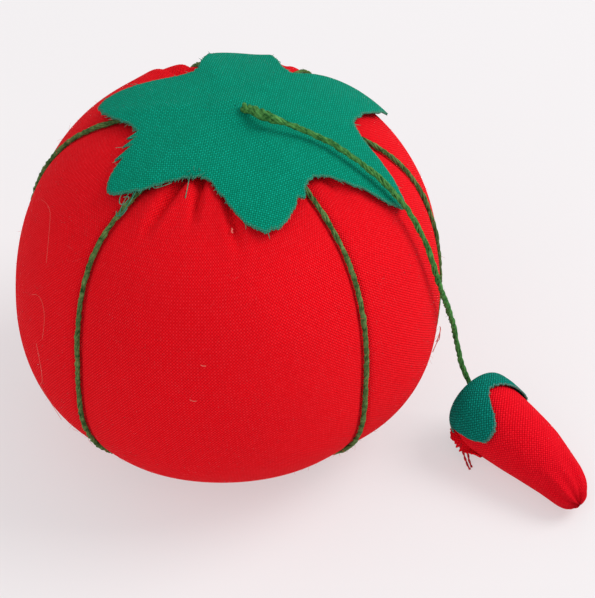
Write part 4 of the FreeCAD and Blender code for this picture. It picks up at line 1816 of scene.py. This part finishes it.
@dataclass(frozen=True)
class PepperForm:
    """Outline and stance of the stuffed pepper.

    Attributes:
        origin: middle of its head.
        yaw: direction of its tip, in degrees from +X.
        pitch: how far the tip points down, in degrees.
        stations: distances along it, in millimetres.
        radii: its radius at each station, in millimetres.
        sway: how far its middle line bows aside at each station, in millimetres.
    """

    origin: Stop = (0.04230, -0.00658, 0.00831)
    yaw: float = -52.0
    pitch: float = 10.0
    stations: tuple[float, ...] = (
        -0.3, -0.2, 0.15, 0.9, 3.0, 6.3, 9.0, 12.6, 15.0, 19.0, 22.5, 24.7, 26.3, 27.2)
    radii: tuple[float, ...] = (0.0, 3.0, 4.6, 5.4, 6.15, 6.3, 6.1, 5.75, 5.4, 4.6, 3.85, 3.2, 2.2, 0.0)
    sway: tuple[float, ...] = (0.2, 0.25, 0.4, 0.7, 1.05, 1.05, 0.75, 0.35, 0.1, 0.0, 0.0, 0.2, 0.5, 0.7)

    def axes(self) -> tuple[np.ndarray, np.ndarray, np.ndarray]:
        """Directions along the pepper, across towards the upper right, and up towards the front."""
        yaw = math.radians(self.yaw)
        pitch = math.radians(self.pitch)
        ahead = np.array([math.cos(yaw) * math.cos(pitch), math.sin(yaw) * math.cos(pitch), -math.sin(pitch)])
        tilt = math.radians(40.0)
        facing = np.array([0.0, -math.cos(tilt), math.sin(tilt)])
        facing = unit(facing - ahead * facing.dot(ahead))
        return ahead, np.cross(facing, ahead), facing

    def point(self, turn: np.ndarray, station: np.ndarray, offset: np.ndarray | float = 0.0) -> Points:
        """Points on the pepper, in the row's frame.

        Args:
            turn: angle round it in radians, from the side that faces up and front.
            station: share of its length, from 0 at the head to 1 at the tip.
            offset: distance out of the outline.

        Returns:
            An n by 3 array.
        """
        ahead, across, facing = self.axes()
        fine = np.linspace(0.0, 1.0, 400)
        stations = np.array(self.stations) * MM
        radii = np.array(self.radii) * MM
        share = along(np.stack([stations, radii, radii * 0.0], axis=1))
        share = share / share[-1]
        window = np.hanning(25)
        window = window / window.sum()

        def eased(values: np.ndarray) -> np.ndarray:
            """Values at the stations, spread over the length and smoothed with their ends kept."""
            rough = np.interp(fine, share, values)
            first = 2.0 * rough[0] - rough[12:0:-1]
            last = 2.0 * rough[-1] - rough[-2:-14:-1]
            return np.convolve(np.concatenate([first, rough, last]), window, mode="valid")

        x = eased(stations)
        r = np.maximum(eased(radii), 0.0)
        side = eased(np.array(self.sway) * MM)
        slope_x, slope_r = np.gradient(x, fine), np.gradient(r, fine)
        size = np.hypot(slope_x, slope_r)
        out_r = np.interp(station, fine, slope_x / size)
        out_x = np.interp(station, fine, -slope_r / size)
        x = np.interp(station, fine, x) + out_x * offset
        r = np.interp(station, fine, r) + out_r * offset
        side = np.interp(station, fine, side)
        centre = np.array(self.origin) + ahead * x[:, None] - across * side[:, None]
        ring = facing * np.cos(turn)[:, None] + across * np.sin(turn)[:, None]
        return centre + ring * r[:, None]


PEPPER_LEAVES = (
    Leaf(-27.0, 0.440, 1.40, 1.45, 31.0, 0.250),
    Leaf(106.0, 0.325, 0.85, 1.1, 140.0, 0.234),
    Leaf(172.0, 0.350, 1.2, 1.1, 208.0, 0.219),
    Leaf(236.0, 0.307, 1.1, 1.0, 290.0, 0.180),
)


PEPPER_SEAM = math.radians(-93.0)
GIRTH_RADIUS = 5.0
CAP_HOLE = 0.028

# Routes of the two threads that hang from the seam, in millimetres.
LOOSE_THREADS = (
    ((39.6, -11.9, 4.4), (39.5, -12.8, 3.3), (39.9, -14.1, 1.9), (40.5, -15.4, 0.70), (41.0, -16.4, 0.35)),
    ((40.5, -12.3, 4.2), (40.5, -13.3, 3.0), (40.7, -14.3, 1.7), (41.0, -15.2, 0.60), (41.3, -15.9, 0.35)),
)


@dataclass
class Pepper:
    """Small stuffed pepper with its cap, its raw seam and its knot.

    Attributes:
        form: its outline.
        columns: faces round the cover before subdivision.
        rows: faces along the cover before subdivision.
        cap_offset: height of the cap over the cover.
        cap_thickness: thickness of the cap's cloth.
        seed: seed of its small unevenness.
    """

    form: PepperForm = field(default_factory=PepperForm)
    columns: int = 44
    rows: int = 44
    cap_offset: float = 0.30 * MM
    cap_thickness: float = 0.30 * MM
    seed: int = 5

    def cover(self, finish: ClothFinish) -> bpy.types.Object:
        """Build and dress the cloth cover."""

        def place(u: np.ndarray, v: np.ndarray) -> np.ndarray:
            """Round the cover from its seam, and along it."""
            return self.form.point(u * FULL_TURN + PEPPER_SEAM, v, -0.12 * MM)

        piece = shaped_grid("pepper_body", self.columns, self.rows, place, closed=True,
                            uv_scale=(36.0 * MM, 36.0 * MM))
        held = smoothstep(0.6 * MM, 0.1 * MM, read_points(piece)[:, 2])
        Inflation(enlarge=40.0, pressure=4.0, reach=0.25 * MM).swell(piece, held)
        subdivide_smoothly(piece, 2)
        self.sew(piece)
        dress(piece, finish.build(), Body.PEPPER, Slot.PEPPER_CLOTH, "pepper_cover")
        return piece

    def locate(self, points: Points) -> tuple[np.ndarray, np.ndarray]:
        """Angle round the pepper and distance along it of points.

        Args:
            points: an n by 3 array.

        Returns:
            Angles in radians and distances in metres.
        """
        ahead, across, facing = self.form.axes()
        local = points - np.array(self.form.origin)
        x = local @ ahead
        side = np.interp(x, np.array(self.form.stations) * MM, np.array(self.form.sway) * MM)
        turn = np.arctan2(local @ across + side, local @ facing)
        return turn, x

    def sew(self, piece: bpy.types.Object) -> None:
        """Press the seam, the tip's pleats and small lumps into the cover."""
        points = read_points(piece)
        normals = read_normals(piece)
        turn, x = self.locate(points)
        rng = np.random.default_rng(self.seed)
        aside = wrapped(turn - PEPPER_SEAM) * GIRTH_RADIUS * MM
        move = -0.28 * MM * np.exp(-(aside / (0.7 * MM)) ** 2) * smoothstep(26.5 * MM, 22.0 * MM, x)
        tip = smoothstep(18.0 * MM, 26.0 * MM, x)
        move += 0.16 * MM * ripple(rng, 4, 5, 11)(turn) * tip
        head = smoothstep(5.0 * MM, 0.5 * MM, x)
        move += 0.18 * MM * ripple(rng, 4, 8, 16)(turn) * head
        for _ in range(18):
            spot = rng.uniform((-math.pi, 2.0), (math.pi, 25.0))
            size = rng.uniform(1.6, 3.6) * MM
            around = wrapped(turn - spot[0]) * GIRTH_RADIUS * MM
            away = x - spot[1] * MM
            move += rng.uniform(-0.13, 0.13) * MM * np.exp(-(around ** 2 + away ** 2) / size ** 2)
        points += normals * move[:, None]
        points[:, 2] = np.maximum(points[:, 2], 0.05 * MM)
        write_points(piece, points)

    def filling(self, finish: GrainFinish) -> bpy.types.Object:
        """Build and dress the emery inside the cover."""

        def place(u: np.ndarray, v: np.ndarray) -> np.ndarray:
            """Round the filling, and along it."""
            return self.form.point(u * FULL_TURN, v, -0.9 * MM)

        piece = shaped_grid("pepper_grit", 32, 40, place, closed=True)
        dress(piece, finish.build(), Body.PEPPER, Slot.EMERY, "pepper_filling")
        return piece

    def edge(self, turn: np.ndarray) -> np.ndarray:
        """Share of the outline that the cap reaches at each angle in radians."""
        reach, _ = lobed(PEPPER_LEAVES, np.degrees(turn))
        rng = np.random.default_rng(self.seed + 1)
        return reach + 0.004 * ripple(rng, 5, 24, 60)(turn)

    def cap(self, finish: ClothFinish, fray: FibreFinish) -> bpy.types.Object:
        """Build and dress the four-lobed cap and the thread ends of its edge.

        Args:
            finish: the green cloth.
            fray: finish of its thread ends.

        Returns:
            The cap.
        """

        def place(u: np.ndarray, v: np.ndarray) -> np.ndarray:
            """Round the cap, and along it from its hole."""
            turn = u * FULL_TURN
            share = CAP_HOLE + (self.edge(turn) - CAP_HOLE) * v
            return self.form.point(turn, share, self.cap_offset)

        piece = shaped_grid("pepper_cap_cloth", 320, 28, place, closed=True)
        mark_rim(piece)
        turn, x = self.locate(read_points(piece))
        head_radius = 6.2
        lay_flat(piece, np.stack([turn * head_radius * MM, x], axis=1))
        ahead, _, _ = self.form.axes()
        face_away(piece, np.array(self.form.origin) + ahead * 20.0 * MM)
        apply_modifier(piece, "SOLIDIFY", thickness=self.cap_thickness, offset=1.0, use_even_offset=True)
        dress(piece, finish.build(), Body.PEPPER, Slot.PEPPER_LEAF_CLOTH, "pepper_cap")
        ends = self.fringe(fray)
        return piece

    def fringe(self, finish: FibreFinish) -> bpy.types.Object:
        """Build and dress the thread ends along the cap's edge."""
        rng = np.random.default_rng(self.seed + 3)
        steps = np.linspace(0.0, 1.0, 3)[:, None]
        lift = self.cap_offset + self.cap_thickness * 0.5
        routes = []
        for turn in np.sort(rng.uniform(0.0, FULL_TURN, 240)):
            here = np.array([turn])
            edge = self.edge(here)
            start = self.form.point(here, edge - 0.004, lift)[0]
            ahead = self.form.point(here, edge + 0.02, lift)[0]
            aside = self.form.point(here + 0.05, edge, lift)[0]
            direction = unit(unit(ahead - start) + unit(aside - start) * rng.uniform(-0.6, 0.6))
            routes.append(start + steps * direction * rng.uniform(0.15, 0.45) * MM)
        taper = np.array([1.0, 0.8, 0.4]) * 0.06 * MM
        ends = strands("pepper_cap_fray", routes, [taper] * len(routes), 4)
        return dress(ends, finish.build(), Body.PEPPER, Slot.PEPPER_LEAF_CLOTH)

    def raw_seam(self, cloth: ClothFinish, thread: FibreFinish) -> list[bpy.types.Object]:
        """Build and dress the raw fin of the side seam and its two hanging threads.

        Args:
            cloth: the red cloth.
            thread: the red thread.

        Returns:
            The fin and the threads.
        """
        rng = np.random.default_rng(self.seed + 4)
        jag = ripple(rng, 5, 20, 60)

        def place(u: np.ndarray, v: np.ndarray) -> np.ndarray:
            """Along the fin, and up to its ragged edge."""
            share = 0.16 + 0.24 * u
            tall = 1.15 * MM * smoothstep(-0.12, 0.30, u) * smoothstep(1.0, 0.45, u)
            height = -0.35 * MM + v * (0.35 * MM + tall * (1.0 + 0.22 * jag(u * 2.0)))
            lean = PEPPER_SEAM + 0.10 * v * np.sin(u * 9.0)
            return self.form.point(lean, share, height)

        fin = shaped_grid("pepper_seam_fin", 90, 8, place, closed=False, uv_scale=(10.0 * MM, 2.0 * MM))
        apply_modifier(fin, "SOLIDIFY", thickness=0.35 * MM, offset=0.0)
        dress(fin, cloth.build(), Body.PEPPER, Slot.PEPPER_CLOTH)
        material = thread.build()
        made = [fin]
        for number, route in enumerate(LOOSE_THREADS):
            line = nurbs_line("loose_end", [tuple(value * MM for value in point) for point in route])
            lay = Lay(count=2, strand_radius=0.11 * MM, lay_radius=0.10 * MM, pitch=2.0 * MM, step=0.2 * MM,
                      sides=6, wander=0.01 * MM)
            loose = lay.build(f"pepper_loose_thread_{number + 1}", line)
            made.append(dress(loose, material, Body.PEPPER, Slot.GATHER_THREAD))
        return made

    def fastenings(self, cord: FibreFinish, thread: FibreFinish) -> list[bpy.types.Object]:
        """Build and dress the leash's end knot and the gathering thread of the head.

        Args:
            cord: finish of the knot.
            thread: finish of the gathering thread.

        Returns:
            The two pieces.
        """
        ahead, _, _ = self.form.axes()
        knot = knot_of_cord("leash_end_knot", middle_of("pepper_tie_knot"), Vector(ahead),
                            0.85 * MM, 0.70 * MM, 0.26 * MM)
        ring = running_stitch("pepper_gather", middle_of("pepper_gather_thread"), Vector(ahead),
                              1.25 * MM, 7)
        return [dress(knot, cord.build(), Body.TIE, Slot.LEASH_CORD, "pepper_tie_knot"),
                dress(ring, thread.build(), Body.PEPPER, Slot.GATHER_THREAD, "pepper_gather_thread")]


# ---------------------------------------------------------------- lint


# Each hair's radius in millimetres, then its stops: azimuth in degrees, level, height in millimetres.
LOOSE_HAIRS = (
    (0.020, ((189.0, 0.36, 0.9), (196.0, 0.40, 1.0), (202.0, 0.36, 0.9), (208.0, 0.27, 0.9))),
    (0.024, ((205.0, 0.14, 0.9), (209.0, 0.18, 1.0), (214.0, 0.13, 0.9), (213.0, 0.06, 0.9))),
    (0.034, ((210.0, 0.03, 0.9), (214.0, -0.06, 1.0), (209.0, -0.12, 0.9), (216.0, -0.20, 0.9),
             (215.0, -0.27, 0.9))),
    (0.080, ((351.0, -0.02, 0.8), (353.5, -0.05, 1.1), (351.5, -0.09, 0.9), (354.0, -0.12, 0.9))),
    (0.070, ((353.0, -0.04, 0.9), (350.5, -0.07, 1.2), (353.0, -0.10, 1.0), (351.0, -0.14, 0.8))),
    (0.120, ((270.0, 0.612, 0.8), (270.6, 0.607, 0.9), (269.6, 0.602, 0.9), (270.6, 0.597, 0.8))),
    (0.080, ((263.0, 0.190, 0.7), (263.6, 0.187, 0.8), (264.4, 0.189, 0.7))),
    (0.080, ((260.6, 0.085, 0.7), (261.4, 0.080, 0.8), (262.4, 0.083, 0.7))),
)


@dataclass
class Lint:
    """Loose hairs, fibres and specks that cling to the ball.

    Attributes:
        form: outline of the ball.
        hairs: how many short fibres of the cloth stand up.
        seed: seed of their places.
    """

    form: BallForm = field(default_factory=BallForm)
    hairs: int = 520
    seed: int = 71

    def nap(self, finish: FibreFinish) -> bpy.types.Object:
        """Build and dress the short red fibres that stand off the cloth."""
        rng = np.random.default_rng(self.seed)
        steps = np.linspace(0.0, 1.0, 4)[:, None]
        routes = []
        for _ in range(self.hairs):
            azimuth = rng.uniform(-math.pi, math.pi)
            level = rng.uniform(-0.55, 0.50)
            here = self.form.point(np.array([azimuth]), np.array([level]), 0.35 * MM)[0]
            out = unit(self.form.point(np.array([azimuth]), np.array([level]), 2.0 * MM)[0] - here)
            aside = unit(np.cross(out, rng.normal(size=3)))
            length = rng.uniform(0.5, 1.5) * MM
            routes.append(here + length * (steps * (out * rng.uniform(0.15, 0.9) + aside)
                                           - steps ** 2 * out * rng.uniform(0.0, 0.35)))
        taper = np.array([1.0, 0.9, 0.7, 0.3]) * 0.022 * MM
        nap = strands("ball_nap", routes, [taper] * len(routes), 3)
        return dress(nap, finish.build(), Body.CUSHION, Slot.BALL_CLOTH)

    def hair(self, stops: Sequence[Stop]) -> Points:
        """Line of one long hair over the ball.

        Args:
            stops: azimuth in degrees, level and height over the outline in millimetres, for each point.

        Returns:
            The line's points.
        """
        route = [tuple(self.form.point(np.radians([azimuth]), np.array([level]), height * MM)[0])
                 for azimuth, level, height in stops]
        return evenly(nurbs_line("hair_route", route), 0.25 * MM)

    def build(self, finish: FibreFinish) -> bpy.types.Object:
        """Build and dress the pale hairs and specks."""
        routes = [self.hair(stops) for _, stops in LOOSE_HAIRS]
        lint = strands("stray_lint", routes, [radius * MM for radius, _ in LOOSE_HAIRS], 4)
        return dress(lint, finish.build(), Body.CUSHION, Slot.BALL_CLOTH)


# ---------------------------------------------------------------- the set


@dataclass
class Studio:
    """Camera, floor and lights.

    Attributes:
        eye: the camera's place.
        elevation: its height above the horizon, in degrees.
        lens: its focal length in millimetres.
        target: the point that the lights face.
    """

    eye: Stop = (0.01228, -0.38300, 0.34500)
    elevation: float = 40.0
    lens: float = 181.69
    target: Stop = (0.01, 0.0, 0.02)

    def camera(self) -> None:
        """Add the camera."""
        data = bpy.data.cameras.new("camera")
        data.lens = self.lens
        data.sensor_width = 36.0
        data.clip_start = 0.01
        data.clip_end = 10.0
        holder = bpy.data.objects.new("camera", data)
        holder.location = self.eye
        holder.rotation_euler = (math.radians(90.0 - self.elevation), 0.0, 0.0)
        bpy.context.scene.collection.objects.link(holder)
        bpy.context.scene.camera = holder

    def floor(self) -> None:
        """Add the plain pale floor."""
        deselect()
        bpy.ops.mesh.primitive_plane_add(size=6.0)
        plane = bpy.context.object
        plane.name = "floor"
        material = bpy.data.materials.new("pale_floor")
        material.use_nodes = True
        shader = material.node_tree.nodes["Principled BSDF"]
        shader.inputs["Base Color"].default_value = (0.34, 0.333, 0.336, 1.0)
        shader.inputs["Emission Color"].default_value = (1.0, 0.98, 0.995, 1.0)
        shader.inputs["Emission Strength"].default_value = 0.50
        shader.inputs["Roughness"].default_value = 0.9
        shader.inputs["Specular IOR Level"].default_value = 0.1
        plane.data.materials.append(material)

    def area(self, name: str, place: Stop, size: float, power: float, colour: Stop) -> None:
        """Add a soft square light that faces the object.

        Args:
            name: its name.
            place: its place.
            size: length of its side.
            power: its power in watts.
            colour: its colour.
        """
        data = bpy.data.lights.new(name, "AREA")
        data.size = size
        data.energy = power
        data.color = colour
        holder = bpy.data.objects.new(name, data)
        holder.location = place
        aim = Vector(self.target) - Vector(place)
        holder.rotation_euler = aim.to_track_quat("-Z", "Y").to_euler()
        bpy.context.scene.collection.objects.link(holder)

    def lights(self) -> None:
        """Add the key light, the fill light and the even surround."""
        self.area("key", (0.78, 0.10, 0.80), 0.65, 8.5, (1.0, 0.985, 0.975))
        self.area("fill", (-0.5, -0.9, 0.9), 0.9, 2.5, (1.0, 0.99, 0.99))
        world = bpy.data.worlds.new("surround")
        world.use_nodes = True
        background = world.node_tree.nodes["Background"]
        background.inputs["Color"].default_value = (1.0, 0.985, 0.995, 1.0)
        background.inputs["Strength"].default_value = 0.69
        bpy.context.scene.world = world
        bpy.context.scene.view_settings.view_transform = "Standard"

    def build(self) -> None:
        """Add all of the set."""
        self.camera()
        self.floor()
        self.lights()


# In these cloth finishes the deep colour is also the painted shade between the threads, and the third colour
# is the painted highlight on their crowns.
RED_CLOTH = ClothFinish(
    "red_cotton", lit=(0.93, 0.0006, 0.0065, 1.0), deep=(0.46, 0.0005, 0.004, 1.0),
    highlight_and_fray=(1.0, 0.026, 0.038, 1.0), threads=2650.0, turn=38.0, relief=0.00024, sheen=0.01,
    fuzz=(1.0, 0.35, 0.35, 1.0))
PEPPER_CLOTH = ClothFinish(
    "pepper_red_cotton", lit=(0.80, 0.0015, 0.011, 1.0), deep=(0.40, 0.0005, 0.005, 1.0),
    highlight_and_fray=(1.0, 0.016, 0.030, 1.0), threads=2450.0, turn=45.0, relief=0.00022, sheen=0.01,
    fuzz=(1.0, 0.35, 0.35, 1.0))
GREEN_CLOTH = ClothFinish(
    "green_cotton", lit=(0.0004, 0.195, 0.108, 1.0), deep=(0.0, 0.085, 0.045, 1.0),
    highlight_and_fray=(0.004, 0.44, 0.31, 1.0), threads=2950.0, turn=8.0, relief=0.00018, sheen=0.01,
    fuzz=(0.3, 1.0, 0.75, 1.0), rim=True)
PEPPER_GREEN = ClothFinish(
    "pepper_green_cotton", lit=(0.001, 0.165, 0.115, 1.0), deep=(0.0, 0.06, 0.042, 1.0),
    highlight_and_fray=(0.006, 0.36, 0.29, 1.0), threads=2600.0, turn=45.0, relief=0.00022, sheen=0.01,
    fuzz=(0.3, 1.0, 0.8, 1.0), rim=True, rim_colour=(0.42, 0.34, 0.33, 1.0))
# In these fibre finishes the first colour is the fibres in painted light and the second the fibres in painted
# shade.
OLIVE_CORD = FibreFinish("olive_cord", (0.17, 0.28, 0.09, 1.0), (0.008, 0.050, 0.012, 1.0), 0.02)
LEASH_CORD = FibreFinish("leash_green_cord", (0.12, 0.36, 0.09, 1.0), (0.005, 0.065, 0.014, 1.0), 0.02)
RED_THREAD = FibreFinish("red_thread", (0.62, 0.03, 0.04, 1.0), (0.30, 0.002, 0.008, 1.0), 0.02)
CUT_THREAD = FibreFinish("cut_thread_ends", (0.08, 0.36, 0.25, 1.0), (0.006, 0.17, 0.10, 1.0), 0.02)
PALE_LINT = FibreFinish("pale_lint", (0.85, 0.25, 0.20, 1.0), (0.75, 0.12, 0.10, 1.0))
RED_NAP = FibreFinish("red_nap", (0.90, 0.12, 0.12, 1.0), (0.70, 0.01, 0.02, 1.0))
SAWDUST = GrainFinish("packed_sawdust", (0.62, 0.46, 0.28, 1.0), (0.30, 0.19, 0.10, 1.0), 1400.0)
EMERY = GrainFinish("emery_grit", (0.10, 0.10, 0.10, 1.0), (0.012, 0.012, 0.014, 1.0), 4000.0)


def main() -> None:
    """Build the set and every piece in order."""
    logging.basicConfig(level=logging.INFO, format="%(name)s: %(message)s")
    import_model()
    Studio().build()
    Leash().build(LEASH_CORD)
    ball = StuffedBall()
    ball.cover(RED_CLOTH)
    ball.stuffing(SAWDUST)
    ball.cords(OLIVE_CORD)
    ball.inner_cordage(OLIVE_CORD, RED_THREAD)
    LeafCap().build(GREEN_CLOTH, CUT_THREAD)
    pepper = Pepper()
    pepper.cover(PEPPER_CLOTH)
    pepper.filling(EMERY)
    pepper.cap(PEPPER_GREEN, CUT_THREAD)
    pepper.raw_seam(PEPPER_CLOTH, RED_THREAD)
    pepper.fastenings(LEASH_CORD, RED_THREAD)
    lint = Lint()
    lint.nap(RED_NAP)
    lint.build(PALE_LINT)
    deselect()
    bpy.context.view_layer.update()


if __name__ == "__main__":
    main()
